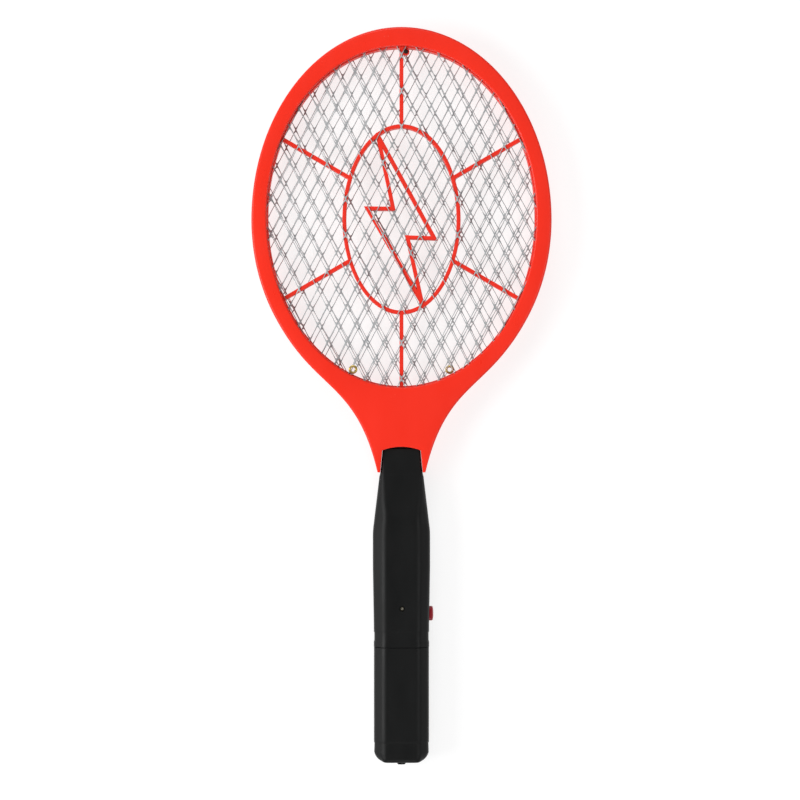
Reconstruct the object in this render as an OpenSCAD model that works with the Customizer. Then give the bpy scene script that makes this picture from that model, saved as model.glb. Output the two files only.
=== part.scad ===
// Electric fly swatter with a three-layer grid, a push button and two AA cells.
// It lies on its back: +X to the right, +Y from the handle to the head, +Z up through the front face.

/* [Overall] */
// Length from the top of the head to the tip of the cover screw
overall_l = 451; // [449:1:453]

/* [Head] */
// Width of the head
head_w = 183.4; // [183:0.1:185]
// Thickness of the head, both shells together
head_t = 17; // [16.8:0.1:18]
// Height of the oval above its widest place
head_up = 117.7; // [117:0.1:118.5]
// Height of the oval below its widest place
head_low = 110.3; // [109.5:0.1:111]
// Width of the rim at the sides of the opening
rim_side = 9.2; // [9.2:0.1:10]
// Width of the rim at the top of the opening
rim_top = 11.6; // [11.2:0.1:12]
// Length of the opening
opening_l = 208.4; // [207.6:0.2:209]
// Wall thickness of the head shells
head_wall = 1.8; // [1.6:0.1:1.9]
// Width of the land that clamps the grids round the opening
land_w = 3.2; // [3:0.1:3.3]

/* [Grids] */
// Thickness of each metal grid
grid_t = 0.8; // [0.6:0.1:0.9]
// Distance from the middle grid to each outer grid
grid_gap = 4.4; // [4.2:0.1:4.6]
// Width of one diamond
diamond_w = 11.4; // [10.5:0.1:12.5]
// Length of one diamond
diamond_l = 22; // [20:0.5:24]
// Width of a strand
strand_w = 0.7; // [0.7:0.1:1.2]
// Width of a rib of the rib frames
rib_w = 2.4; // [2:0.1:2.8]

/* [Handle] */
// Width of the grip at its widest place
grip_w = 35; // [34.8:0.1:35.4]
// Thickness of the grip
grip_t = 26; // [26:0.1:26.6]
// Width of the grip where it meets the battery sleeve
grip_end_w = 33.8; // [33.8:0.1:34.2]
// Width of the flat front and back faces
flat_w = 21.4; // [21:0.1:22]
// Height of the flat sides
side_h = 14; // [14:0.1:14.4]
// Wall thickness of the handle shells
wall = 2; // [1.9:0.05:2.05]

/* [Battery sleeve] */
// Length of the battery sleeve
sleeve_l = 70.1; // [70:0.1:70.4]
// Width of the battery sleeve
sleeve_w = 33.6; // [33.3:0.1:33.7]
// Wall thickness of the battery sleeve
sleeve_wall = 1.5; // [1.4:0.05:1.55]
// Radius of the corners at the end of the sleeve
end_r = 7.5; // [6:0.1:7.5]

/* [Battery cells] */
// Diameter of an AA cell
cell_d = 14.1; // [13.9:0.1:14.2]
// Length of an AA cell over its positive button
cell_l = 50.5; // [49.8:0.1:50.5]

/* [Push button] */
// Length of the push button along the handle
button_l = 8.8; // [8.6:0.1:9.6]
// Height of the push button
button_h = 6.4; // [5.8:0.1:6.6]
// How far the push button stands proud of the side
button_proud = 2.5; // [2:0.1:3]
// Travel of the push button
button_travel = 1.3; // [1:0.1:1.3]

/* [Hidden] */
$fn = 48;
E = 0.01;

// Levels up from the surface that the handle lies on
mid_z = grip_t / 2;
back_z = mid_z - head_t / 2;
grid_top = grid_gap + grid_t / 2;
grid_low = grid_gap - grid_t / 2;

// Places along the object, from the head down to the end
top_y = overall_l / 2;
end_y = -overall_l / 2;
oval_y = top_y - head_up;
open_rx = head_w / 2 - rim_side;
open_ry = opening_l / 2;
open_y = top_y - rim_top - open_ry;
rib_y = oval_y + 0.5;
mouth_y = -30.9;
prong_y = -46.5;
screw_proud = 2.1;
sleeve_end_y = end_y + screw_proud;
seam_gap = 0.3;
seam_y = sleeve_end_y + sleeve_l + seam_gap;
button_y = -133;
led_xy = [0.4, -129.4];

// Throat: where it leaves the oval, and the two handles of its curve
flare_a = -32.5;
flare_lead = 53;
prong_x = 14.6;
flare_tip = [28.3, 10.5];

// Neck slot between the prongs
slot_top = 11.3;
slot_low = 13.1;
slot_arch_r = 33;
tongue_end_y = -12;
tongue_x = 10.7;
tongue_t = 6.5;
wing_x = 17;
wing_l = 4.8;

// Screws that close the head, and pegs that line up its shells
head_screw_xy = [[15.2, -20], [40, 10.5]];
head_boss_r = 2.8;
thread_r = 1.25;
peg_r = 1;
peg_angles = [-30, 10, 50, 90, 130, 170, 210];

// Screws that close the handle
handle_screw_xy = [[8.5, -60], [12, -147.5]];
handle_boss_r = 3.2;
handle_screw_r = 1.3;
screw_head_r = 2.2;
screw_seat_z = 5;

// Circuit board and what stands on it
board_w = 22;
board_top_y = -68;
board_end_y = -142;
board_z = 7;
board_t = 1.6;
part_z = board_z + board_t;
board_post_xy = [[9, -71.5], [9, -139]];
coil_y = -84;
coil_z = part_z + 6.1;

// Battery tray, cells and contacts
cell_r = cell_d / 2;
cell_x = 7.4;
tray_gap = 0.35;
tray_top_y = seam_y;
tray_head_l = 5;
bay_top_y = seam_y - tray_head_l;
bay_end_y = bay_top_y - 58;
tray_end_y = bay_end_y - 3;
tray_cut_z = 9.5;
plate_t = 0.4;
plate_z = tray_cut_z + 0.1;
spring_wire = 0.4;

// Grooves round the grip and the sleeve
groove_l = 5.6;
groove_d = 0.5;
grip_groove_y = seam_y + 6;
sleeve_groove_y = sleeve_end_y + 9;

RED = [0.93, 0.16, 0.1];
RIB_RED = [0.86, 0.17, 0.12];
BLACK = [0.12, 0.12, 0.12];
METAL = [0.72, 0.73, 0.74];
BRASS = [0.83, 0.62, 0.26];
BOARD = [0.62, 0.45, 0.22];

// ---------- curves and swept shapes ----------

function oval(rx, up, low, steps = 120) =
  [for (i = [0 : steps - 1]) let (a = 360 * i / steps) [rx * cos(a), (sin(a) > 0 ? up : low) * sin(a)]];

function bezier(p, t) =
  pow(1 - t, 3) * p[0] + 3 * pow(1 - t, 2) * t * p[1] + 3 * (1 - t) * t * t * p[2] + pow(t, 3) * p[3];

function unit(v) = v / norm(v);

// Outline of the head: the oval, then the curve of the throat down to each prong
function head_outline(arc_steps = 90, curve_steps = 20) =
  let (
    rx = head_w / 2,
    start = [rx * cos(flare_a), oval_y + head_low * sin(flare_a)],
    lead = unit([rx * sin(flare_a), -head_low * cos(flare_a)]),
    curve = [start, start + flare_lead * lead, flare_tip, [prong_x, prong_y]],
    arc = [for (i = [0 : arc_steps])
      let (a = flare_a + (180 - 2 * flare_a) * i / arc_steps)
      [rx * cos(a), oval_y + (sin(a) > 0 ? head_up : head_low) * sin(a)]],
    flare = [for (i = [1 : curve_steps]) bezier(curve, i / curve_steps)],
    last = curve_steps - 1
  )
  concat(arc, [for (p = flare) [-p.x, p.y]], [for (i = [last : -1 : 0]) flare[i]]);

// A round tube of radius r along points, with its cross-section kept level with up
module tube(points, r, up = [0, 0, 1], sides = 8) {
  n = len(points);
  rings = [for (i = [0 : n - 1])
    let (
      along = unit(points[min(i + 1, n - 1)] - points[max(i - 1, 0)]),
      side = unit(cross(along, up)),
      top = cross(side, along)
    )
    for (k = [0 : sides - 1]) points[i] + r * (cos(360 * k / sides) * side + sin(360 * k / sides) * top)];
  walls = [for (i = [0 : n - 2], k = [0 : sides - 1])
    let (next = (k + 1) % sides)
    [i * sides + k, i * sides + next, (i + 1) * sides + next, (i + 1) * sides + k]];
  polyhedron(rings, concat(
    [[for (k = [sides - 1 : -1 : 0]) k]],
    walls,
    [[for (k = [0 : sides - 1]) (n - 1) * sides + k]]
  ));
}

// A smooth route through a few corner points: each inner corner is rounded by a short curve
function rounded_route(corners, bend = 5, steps = 4) =
  let (last = len(corners) - 1)
  concat(
    [corners[0]],
    [for (i = [1 : last - 1])
      let (
        back = corners[i - 1] - corners[i],
        on = corners[i + 1] - corners[i],
        before = corners[i] + min(bend, norm(back) / 2.2) * unit(back),
        after = corners[i] + min(bend, norm(on) / 2.2) * unit(on)
      )
      for (k = [0 : steps])
        let (t = k / steps)
        (1 - t) * (1 - t) * before + 2 * (1 - t) * t * corners[i] + t * t * after],
    [corners[last]]
  );

// A coil of wire along -Y from its base, narrowing from r1 to r2
module coil_spring(r1, r2, length, turns = 3.5, steps = 10) {
  tube(
    [for (i = [0 : turns * steps])
      let (t = i / (turns * steps), a = 360 * i / steps, r = r1 + (r2 - r1) * t)
      [r * cos(a), -spring_wire - (length - 2 * spring_wire) * t, r * sin(a)]],
    spring_wire, up = [0, 1, 0], sides = 6
  );
}

// A body with an eight-sided section that changes along Y.
// Each station is [y, half width, half thickness, half width of the flats, half height of the sides].
module octagon_loft(stations) {
  n = len(stations);
  rings = [for (s = stations)
    for (c = [[s[3], s[2]], [s[1], s[4]], [s[1], -s[4]], [s[3], -s[2]],
              [-s[3], -s[2]], [-s[1], -s[4]], [-s[1], s[4]], [-s[3], s[2]]])
      [c.x, s[0], mid_z + c.y]];
  walls = [for (i = [0 : n - 2], k = [0 : 7])
    let (a = i * 8 + k, b = i * 8 + (k + 1) % 8)
    for (face = [[a, b, b + 8], [a, b + 8, a + 8]]) face];
  polyhedron(rings, concat(
    [[for (k = [7 : -1 : 0]) k]],
    walls,
    [[for (k = [0 : 7]) (n - 1) * 8 + k]]
  ), convexity = 4);
}

module bar(p, q, w) {
  d = q - p;
  translate(p)
    rotate(atan2(d.y, d.x))
      translate([0, -w / 2])
        square([norm(d), w]);
}

module pair(xy) {
  for (p = xy, side = [-1, 1])
    translate([side * p.x, p.y, 0])
      children();
}

module block(x0, x1, y0, y1, z0, z1) {
  translate([x0, y0, z0])
    cube([x1 - x0, y1 - y0, z1 - z0]);
}

// ---------- head ----------

module opening(grow = 0) {
  translate([0, open_y])
    polygon(oval(open_rx + grow, open_ry + grow, open_ry + grow));
}

module neck_slot() {
  intersection() {
    polygon([[-slot_top, mouth_y + 3], [slot_top, mouth_y + 3],
             [slot_low, prong_y - 1], [-slot_low, prong_y - 1]]);
    translate([0, mouth_y - slot_arch_r])
      circle(r = slot_arch_r, $fn = 96);
  }
}

// Half of the head with its outer face up, from the joint plane at z = 0 to z = head_t / 2
module head_half() {
  roof = head_t / 2 - head_wall;
  difference() {
    linear_extrude(head_t / 2)
      difference() {
        polygon(head_outline());
        opening();
        neck_slot();
      }
    // hollow that takes the grids and the rib frame
    translate([0, 0, -E])
      linear_extrude(grid_top + E)
        head_hollow();
    // groove behind the land that clamps the grids
    translate([0, 0, grid_top - E])
      linear_extrude(roof - grid_top + E)
        difference() {
          head_hollow();
          opening(land_w);
        }
    // way in for the tongue of the neck
    block(-slot_top - 0.6, slot_top + 0.6, mouth_y - 3, mouth_y + 3.1, -E, roof);
  }
}

module head_hollow() {
  intersection() {
    offset(delta = -head_wall)
      polygon(head_outline());
    translate([-head_w, mouth_y + 3])
      square([2 * head_w, overall_l]);
  }
}

module at_pegs() {
  mid_rx = head_w / 2 - head_wall - 2.1;
  for (a = peg_angles)
    translate([mid_rx * cos(a), oval_y + (sin(a) > 0 ? head_up - 4.8 : head_low - 4.3) * sin(a), 0])
      children();
}

module head_front_shell() {
  roof = head_t / 2 - head_wall;
  color(RED)
    translate([0, 0, mid_z])
      difference() {
        union() {
          head_half();
          pair(head_screw_xy)
            cylinder(r = head_boss_r, h = roof + E);
          at_pegs()
            cylinder(r = 2, h = roof + E);
        }
        pair(head_screw_xy)
          translate([0, 0, -E])
            cylinder(r = thread_r, h = 5);
        at_pegs()
          translate([0, 0, -E])
            cylinder(r = peg_r + 0.05, h = 4);
      }
}

module head_back_shell() {
  roof = head_t / 2 - head_wall;
  color(RED)
    translate([0, 0, mid_z])
      mirror([0, 0, 1])
        difference() {
          union() {
            head_half();
            pair(head_screw_xy)
              cylinder(r = head_boss_r, h = roof + E);
            at_pegs()
              cylinder(r = 1.6, h = roof + E);
            at_pegs()
              translate([0, 0, -3.5])
                cylinder(r = peg_r, h = 4);
          }
          pair(head_screw_xy)
            translate([0, 0, -E])
              cylinder(r = thread_r + 0.2, h = head_t);
          pair(head_screw_xy)
            translate([0, 0, head_t / 2 - 2.5])
              cylinder(r = 2.3, h = 3);
        }
}

// A screw with a domed head, driven up from the back: its seat is at z = 0 and the head hangs below
module screw(r, length, head_r, head_h) {
  difference() {
    union() {
      cylinder(r = r, h = length);
      translate([0, 0, -head_h])
        cylinder(r1 = head_r - 0.5, r2 = head_r, h = head_h);
    }
    for (turn = [0, 90])
      rotate(turn)
        translate([-head_r * 0.6, -0.35, -head_h - E])
          cube([head_r * 1.2, 0.7, head_h * 0.6]);
  }
}

module head_screws() {
  seat = back_z + 2.5;
  color(METAL)
    pair(head_screw_xy)
      translate([0, 0, seat])
        screw(thread_r, mid_z + 4.8 - seat, 2.2, 1.6);
}

// ---------- rib frames and grids ----------

spoke_xy = [32.7, 26];
spoke_a = 30;
rib_rx = 35;
rib_ry = 57;
bolt = [[-14.5, 51.5], [20.2, -11.6], [3.7, -11], [12.5, -51], [-20.8, 6.7], [-5, 6.5]];
ledge_w = 0.8;
rivet_xy = [2.7, 210.8];
eyelet_xy = [-29.6, 16.4];
eyelet_r = 2.7;
lead_a = 25;

// A point at distance d from an eyelet, on the line along which its lead comes in
function lead_point(side, d, z) =
  [side * (abs(eyelet_xy.x) + d * sin(lead_a)), eyelet_xy.y - d * cos(lead_a), z];

module rib_ring() {
  difference() {
    opening(land_w - 0.2);
    opening(-ledge_w);
  }
}

module ribs() {
  intersection() {
    opening();
    translate([0, rib_y])
      for (up = [-1, 1]) {
        bar([0, up * (rib_ry - 0.2)], [0, up * open_ry * 1.1], rib_w);
        for (side = [-1, 1])
          bar([side * (spoke_xy.x - 1.5), up * (spoke_xy.y - 0.9)],
              [side * (spoke_xy.x + 60 * cos(spoke_a)), up * (spoke_xy.y + 60 * sin(spoke_a))], rib_w);
      }
  }
  translate([0, rib_y])
    difference() {
      polygon(oval(rib_rx + rib_w / 2, rib_ry + rib_w / 2, rib_ry + rib_w / 2, 72));
      polygon(oval(rib_rx - rib_w / 2, rib_ry - rib_w / 2, rib_ry - rib_w / 2, 72));
    }
  // the tips of the bolt run into the oval rib
  translate([0, rib_y])
    intersection() {
      polygon(oval(rib_rx, rib_ry, rib_ry, 72));
      difference() {
        offset(delta = rib_w / 2)
          polygon(bolt);
        offset(delta = -rib_w / 2)
          polygon(bolt);
      }
    }
}

// The frame stands between the middle grid and an outer one
module rib_frame() {
  linear_extrude(grid_low - grid_t / 2)
    union() {
      rib_ring();
      ribs();
    }
}

// Notch in the ring that lets a ground lead in to its eyelet
module lead_notch(side) {
  translate([side * abs(eyelet_xy.x), eyelet_xy.y, grid_low - grid_t / 2 - 1.7])
    rotate(side * lead_a)
      translate([-0.9, -12, 0])
        cube([1.8, 11, 2]);
}

module front_rib_frame() {
  color(RIB_RED)
    translate([0, 0, mid_z + grid_t / 2])
      difference() {
        union() {
          rib_frame();
          translate([rivet_xy.x, rivet_xy.y, 0])
            cylinder(r = 2.2, h = grid_low - grid_t / 2);
        }
        translate([rivet_xy.x, rivet_xy.y, -E])
          cylinder(r = 1, h = grid_gap);
        lead_notch(-1);
      }
}

module back_rib_frame() {
  color(RIB_RED)
    translate([0, 0, mid_z - grid_t / 2])
      mirror([0, 0, 1])
        difference() {
          rib_frame();
          lead_notch(1);
        }
}

// Expanded-metal sheet: an oval with diamonds cut out, left whole in a border under the land
module grid_sheet(shift = [0, 0], stretch = 1, turn = 0) {
  w = diamond_w * stretch;
  l = diamond_l;
  cut = [(w - strand_w * 1.15) / 2, (l - strand_w * 2.2) / 2];
  columns = ceil(2 * open_rx / w) + 1;
  rows = ceil(2 * open_ry / l) + 1;
  translate([0, open_y])
    difference() {
      polygon(oval(open_rx + land_w - 0.3, open_ry + land_w - 0.3, open_ry + land_w - 0.3));
      intersection() {
        polygon(oval(open_rx + 1, open_ry + 1, open_ry + 1));
        rotate(turn)
          translate(shift)
            for (i = [-columns : columns], j = [-rows : rows])
              if ((i + j) % 2 == 0 && norm([i * w / 2 / open_rx, j * l / 2 / open_ry]) < 1.12)
                translate([i * w / 2, j * l / 2])
                  polygon([[cut.x, 0], [0, cut.y], [-cut.x, 0], [0, -cut.y]]);
      }
    }
}

module outer_grid(eyelet_x, shift, turn) {
  difference() {
    union() {
      linear_extrude(grid_t)
        grid_sheet(shift, 1, turn);
      translate([eyelet_x, eyelet_xy.y, 0])
        cylinder(r = eyelet_r, h = grid_t);
    }
    translate([eyelet_x, eyelet_xy.y, -E])
      cylinder(r = 1.9, h = grid_t + 2 * E);
  }
}

module front_mesh() {
  color(METAL)
    translate([0, 0, mid_z + grid_low])
      difference() {
        union() {
          outer_grid(eyelet_xy.x, [0, 0], 0);
          translate([rivet_xy.x, rivet_xy.y, 0])
            cylinder(r = 1.8, h = grid_t);
        }
        translate([rivet_xy.x, rivet_xy.y, -E])
          cylinder(r = 1, h = grid_t + 2 * E);
      }
}

module middle_mesh() {
  color(METAL)
    translate([0, 0, mid_z - grid_t / 2])
      linear_extrude(grid_t) {
        grid_sheet([1.6, 2.5], 1.023, 0.6);
        translate([8, -2.6])
          square([4, 6]);
      }
}

module back_mesh() {
  color(METAL)
    translate([0, 0, mid_z - grid_top])
      outer_grid(-eyelet_xy.x, [3, -1.5], -0.5);
}

// Hollow rivet clenched on a grid, with its wide flange up
module eyelet() {
  rotate_extrude()
    polygon([[1.5, -1], [eyelet_r - 0.3, -1], [eyelet_r - 0.3, -0.7], [1.9, -0.7], [1.9, grid_t],
             [eyelet_r, grid_t], [eyelet_r - 0.3, grid_t + 0.4], [1.5, grid_t + 0.4]]);
}

module front_mesh_eyelet() {
  color(BRASS)
    translate([eyelet_xy.x, eyelet_xy.y, mid_z + grid_low])
      eyelet();
}

module back_mesh_eyelet() {
  color(BRASS)
    translate([-eyelet_xy.x, eyelet_xy.y, mid_z - grid_low])
      mirror([0, 0, 1])
        eyelet();
}

module mesh_rivet() {
  color([0.3, 0.28, 0.27])
    translate([rivet_xy.x, rivet_xy.y, mid_z + grid_t / 2])
      union() {
        cylinder(r = 1, h = grid_gap);
        translate([0, 0, grid_gap])
          cylinder(r1 = 1.5, r2 = 0.9, h = 0.7);
      }
}

// ---------- leads in the neck and the throat ----------

lead_r = 0.6;

module high_voltage_lead() {
  color([0.75, 0.08, 0.06])
    tube(rounded_route([[5, -72, part_z + lead_r], [5, -64, part_z + lead_r], [4, -56, 13.6], [4, -14, 13.6],
                        [10, -7, 14.1], [10, 1.5, 14.1]]), lead_r);
}

module front_ground_lead() {
  color([0.9, 0.9, 0.88])
    tube(rounded_route([[-6, -72, part_z + lead_r], [-5, -64, part_z + lead_r], [-4, -56, 15], [-4, -8, 15],
                        [-30, -1, 16.1], lead_point(-1, 11, 16.1), lead_point(-1, 2.5, 16.1)]), lead_r);
}

module back_ground_lead() {
  color([0.9, 0.9, 0.88])
    tube(rounded_route([[0, -72, part_z + lead_r], [0, -64, part_z + lead_r], [0, -56, 11], [0, -8, 11],
                        [30, -1, 9.9], lead_point(1, 11, 9.9), lead_point(1, 2.5, 9.9)]), lead_r);
}

// ---------- handle ----------

// Stations of the grip and the neck, drawn in by t for the inside
function grip_stations(t) = [
  for (s = [
    [mouth_y + (t > 0 ? 1 : 0.2), 11.4, tongue_t, 11.1, 6],
    [-34.5, 11.5, tongue_t, 11.2, 6],
    [prong_y, 12.85, 8.4, 11.4, 6.6],
    [-64, 15.3, 11.2, 11.1, 6.9],
    [-75, grip_w / 2 - 0.9, grip_t / 2, flat_w / 2, side_h / 2],
    [-82.4, grip_w / 2, grip_t / 2, flat_w / 2, side_h / 2],
    [-104, grip_w / 2, grip_t / 2, flat_w / 2, side_h / 2],
    [-140, grip_end_w / 2, grip_t / 2, flat_w / 2, side_h / 2],
    [seam_y - (t > 0 ? 1 : 0), grip_end_w / 2, grip_t / 2, flat_w / 2, side_h / 2]
  ])
  [s[0], s[1] - t, s[2] - t, min(s[3] - 0.42 * t, s[1] - t - 0.3), min(s[4] - 0.42 * t, s[2] - t - 0.3)]
];

// Ring of air round an eight-sided section, which cuts a shallow groove
module groove(y, half_w, half_t) {
  difference() {
    block(-half_w - 2, half_w + 2, y - groove_l / 2, y + groove_l / 2,
          mid_z - half_t - 2, mid_z + half_t + 2);
    octagon_loft([for (s = [1, -1])
      [y + s * groove_l, half_w - groove_d, half_t - groove_d,
       flat_w / 2 - 0.42 * groove_d, side_h / 2 - 0.42 * groove_d]]);
  }
}

module button_window(grow, x0, x1) {
  translate([x0, button_y, mid_z])
    rotate([0, 90, 0])
      linear_extrude(x1 - x0)
        rounded_plate(button_h + 2 * grow, button_l + 2 * grow, 2);
}

module rounded_plate(w, l, r) {
  offset(r = r)
    square([w - 2 * r, l - 2 * r], center = true);
}

// The part of the handle on one side of the joint plane: side is 1 for the front and -1 for the back.
// Its screw bosses stop short of the outer surface.
module handle_half(side) {
  far = 40;
  z0 = side > 0 ? mid_z : mid_z - far;
  difference() {
    intersection() {
      union() {
        octagon_loft(grip_stations(0));
        block(-tongue_x, tongue_x, mouth_y - 1, tongue_end_y, mid_z - tongue_t, mid_z + tongue_t);
        block(-wing_x, wing_x, tongue_end_y - wing_l, tongue_end_y, mid_z - tongue_t, mid_z + tongue_t);
      }
      block(-far, far, -far * 6, far, z0, z0 + far);
    }
    octagon_loft(grip_stations(wall));
    block(-tongue_x + wall, tongue_x - wall, mouth_y - 1.5, tongue_end_y + 1,
          mid_z - tongue_t + wall, mid_z + tongue_t - wall);
    groove(grip_groove_y, grip_end_w / 2, grip_t / 2);
    button_window(0.3, grip_w / 2 - wall - 3, grip_w / 2 + 3);
  }
  intersection() {
    octagon_loft(grip_stations(0.7));
    pair(handle_screw_xy)
      translate([0, 0, side > 0 ? mid_z : 0])
        cylinder(r = handle_boss_r, h = mid_z);
  }
}

module handle_front_shell() {
  color(BLACK)
    difference() {
      handle_half(1);
      pair(handle_screw_xy)
        translate([0, 0, mid_z - E])
          cylinder(r = handle_screw_r, h = 7);
      translate([led_xy.x, led_xy.y, mid_z])
        cylinder(r = 1.65, h = grip_t);
    }
}

module handle_back_shell() {
  color(BLACK)
    difference() {
      union() {
        handle_half(-1);
        pair(board_post_xy)
          translate([0, 0, wall / 2])
            cylinder(r = 1.6, h = board_z - wall / 2);
        pair(board_post_xy)
          translate([0, 0, board_z / 2])
            cylinder(r = 0.9, h = part_z + 0.8 - board_z / 2);
      }
      pair(handle_screw_xy)
        cylinder(r = handle_screw_r + 0.15, h = mid_z + E);
      pair(handle_screw_xy)
        translate([0, 0, -E])
          cylinder(r = screw_head_r + 0.15, h = screw_seat_z + E);
    }
}

module handle_screws() {
  color(METAL)
    pair(handle_screw_xy)
      translate([0, 0, screw_seat_z])
        screw(handle_screw_r, mid_z + 6.5 - screw_seat_z, screw_head_r, 1.8);
}

// ---------- push button, switch and lamp ----------

flange_t = 1.3;
flange_grow = 1.5;
side_x = grip_end_w / 2 + (button_y + 140) * (grip_w - grip_end_w) / 2 / 36;
button_in_x = side_x - wall - 0.3 - flange_t;

module push_button() {
  color([0.75, 0.08, 0.08])
    union() {
      button_window(0, button_in_x, side_x + button_proud);
      button_window(flange_grow, button_in_x, button_in_x + flange_t);
    }
}

module switch_plunger() {
  color([0.92, 0.92, 0.9])
    translate([button_in_x - 4.8, button_y, mid_z])
      rotate([0, 90, 0])
        cylinder(r = 1.5, h = 4.8);
}

module switch_body() {
  front_x = button_in_x - 2.2;
  color([0.2, 0.2, 0.2])
    difference() {
      block(front_x - 6.4, front_x, button_y - 3.5, button_y + 3.5, part_z, mid_z + 3.8);
      translate([front_x - 2.6 - button_travel - 0.4, button_y, mid_z])
        rotate([0, 90, 0])
          cylinder(r = 1.55, h = 10);
    }
}

module led() {
  dome_z = grip_t - 2.5;
  color([0.95, 0.9, 0.8])
    translate([led_xy.x, led_xy.y, 0]) {
      translate([0, 0, dome_z])
        intersection() {
          sphere(r = 1.5);
          translate([-2, -2, 0])
            cube(4);
        }
      translate([0, 0, dome_z - 2.8])
        cylinder(r = 1.5, h = 2.8);
      translate([0, 0, dome_z - 3.6])
        cylinder(r = 1.9, h = 0.8);
      for (x = [-1.27, 1.27])
        block(x - 0.25, x + 0.25, -0.25, 0.25, part_z, dome_z - 3.6);
    }
}

// ---------- circuit ----------

module circuit_board() {
  color(BOARD)
    difference() {
      block(-board_w / 2, board_w / 2, board_end_y, board_top_y, board_z, part_z);
      pair(board_post_xy)
        translate([0, 0, board_z - E])
          cylinder(r = 0.95, h = board_t + 2 * E);
    }
}

core_w = 16;
core_l = 16;
core_t = 5;
core_leg = 4;
window_x = 6.2;
window_y = 6;

module transformer_core() {
  color([0.28, 0.27, 0.28])
    translate([0, coil_y, coil_z])
      difference() {
        cube([core_w, core_l, core_t], center = true);
        for (side = [-1, 1])
          translate([side * (core_leg / 2 + window_x) / 2, 0, 0])
            cube([window_x - core_leg / 2, 2 * window_y, core_t + 1], center = true);
      }
}

module transformer_winding() {
  drum_l = 2 * window_y - 0.2;
  color([0.85, 0.68, 0.2])
    translate([0, coil_y, coil_z])
      difference() {
        union() {
          rotate([90, 0, 0])
            cylinder(r = 5.4, h = drum_l, center = true);
          for (side = [-1, 1])
            translate([0, side * (drum_l / 2 - 0.5), 0])
              rotate([90, 0, 0])
                cylinder(r = 6, h = 1, center = true);
        }
        cube([core_leg + 0.1, drum_l + 1, core_t + 0.1], center = true);
      }
}

module output_capacitor() {
  color([0.6, 0.16, 0.1])
    translate([0, -100, part_z + 1]) {
      rotate([90, 0, 0])
        linear_extrude(7, center = true)
          translate([0, 6])
            rounded_plate(18, 12, 2);
      for (x = [-7, 7])
        block(x - 0.35, x + 0.35, -0.35, 0.35, -1, 0.5);
    }
}

module multiplier_capacitors() {
  color([0.12, 0.3, 0.6])
    for (x = [-7.4, 0, 7.4])
      translate([x, -109.5, part_z + 4.6]) {
        rotate([90, 0, 0])
          cylinder(r = 3.5, h = 3, center = true);
        for (dx = [-1.6, 1.6])
          block(dx - 0.3, dx + 0.3, -0.3, 0.3, -4.6, -2.5);
      }
}

// A part with a round body lying along X and two bent legs down to the board
module axial_part(r, body_l, span, lift) {
  rotate([0, 90, 0])
    cylinder(r = r, h = body_l, center = true);
  for (side = [-1, 1]) {
    block(min(side * body_l / 2, side * span / 2), max(side * body_l / 2, side * span / 2),
          -0.3, 0.3, -0.3, 0.3);
    block(side * span / 2 - 0.3, side * span / 2 + 0.3, -0.3, 0.3, -lift, 0.3);
  }
}

module rectifier_diodes() {
  color([0.15, 0.15, 0.16])
    for (y = [-115.5, -119.5, -123.5])
      translate([-5, y, part_z + 1.6])
        axial_part(1.35, 5.2, 9, 1.6);
}

module transistor() {
  color([0.1, 0.1, 0.1])
    translate([5.5, -119, part_z]) {
      translate([0, 0, 3])
        difference() {
          cylinder(r = 2.4, h = 4.7);
          translate([-3, -4.4, -1])
            cube([6, 3, 7]);
        }
      for (x = [-1.27, 0, 1.27])
        block(x - 0.25, x + 0.25, -0.25, 0.25, 0, 3.1);
    }
}

module resistors() {
  color([0.8, 0.7, 0.5])
    for (y = [-128.5, -132.5, -136.5])
      translate([-5.5, y, part_z + 1.4])
        axial_part(1.1, 3.8, 7, 1.4);
}

// ---------- battery tray, cells and contacts ----------

sleeve_in_w = sleeve_w / 2 - sleeve_wall;
sleeve_t = grip_t / 2 - 0.3;
sleeve_in_t = sleeve_t - sleeve_wall;

module at_cells() {
  for (side = [-1, 1])
    translate([side * cell_x, 0, mid_z])
      children();
}

module battery_tray() {
  gap = tray_gap;
  w = sleeve_in_w - gap;
  t = sleeve_in_t - gap;
  corner = 0.42 * (sleeve_wall + gap);
  flats = flat_w / 2 - corner;
  sides = side_h / 2 - corner;
  ear_y = -144;
  color([0.14, 0.14, 0.14])
    difference() {
      union() {
        octagon_loft([[tray_top_y, w, t, flats, sides], [bay_end_y - 0.5, w, t, flats, sides],
                      [tray_end_y, w - 1.4, t, flats, sides]]);
        block(-8.5, 8.5, tray_top_y - 1, -142.5, mid_z - 9, mid_z + 9);
        block(-14, 14, ear_y, -142.5, mid_z - 3, mid_z + 3);
        translate([0, tray_end_y + E, mid_z])
          rotate([90, 0, 0])
            cylinder(r = 3.2, h = 1.6);
      }
      // cell bays, open at the front
      block(-w - 1, w + 1, bay_end_y, bay_top_y, tray_cut_z, grip_t);
      at_cells()
        translate([0, bay_end_y, 0])
          rotate([-90, 0, 0])
            cylinder(r = cell_r + 0.15, h = bay_top_y - bay_end_y);
      // way through the upper part for the leads
      block(-6.5, 6.5, tray_top_y, -142, mid_z - 7, mid_z + 7);
      for (side = [-1, 1])
        translate([side * 5, bay_top_y - 1, mid_z + 4])
          rotate([-90, 0, 0])
            cylinder(r = 0.9, h = tray_head_l + 2);
      // bore that takes the cover screw
      translate([0, tray_end_y - 2, mid_z])
        rotate([-90, 0, 0])
          cylinder(r = cover_screw_r + 0.05, h = 4.5);
    }
}

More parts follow.
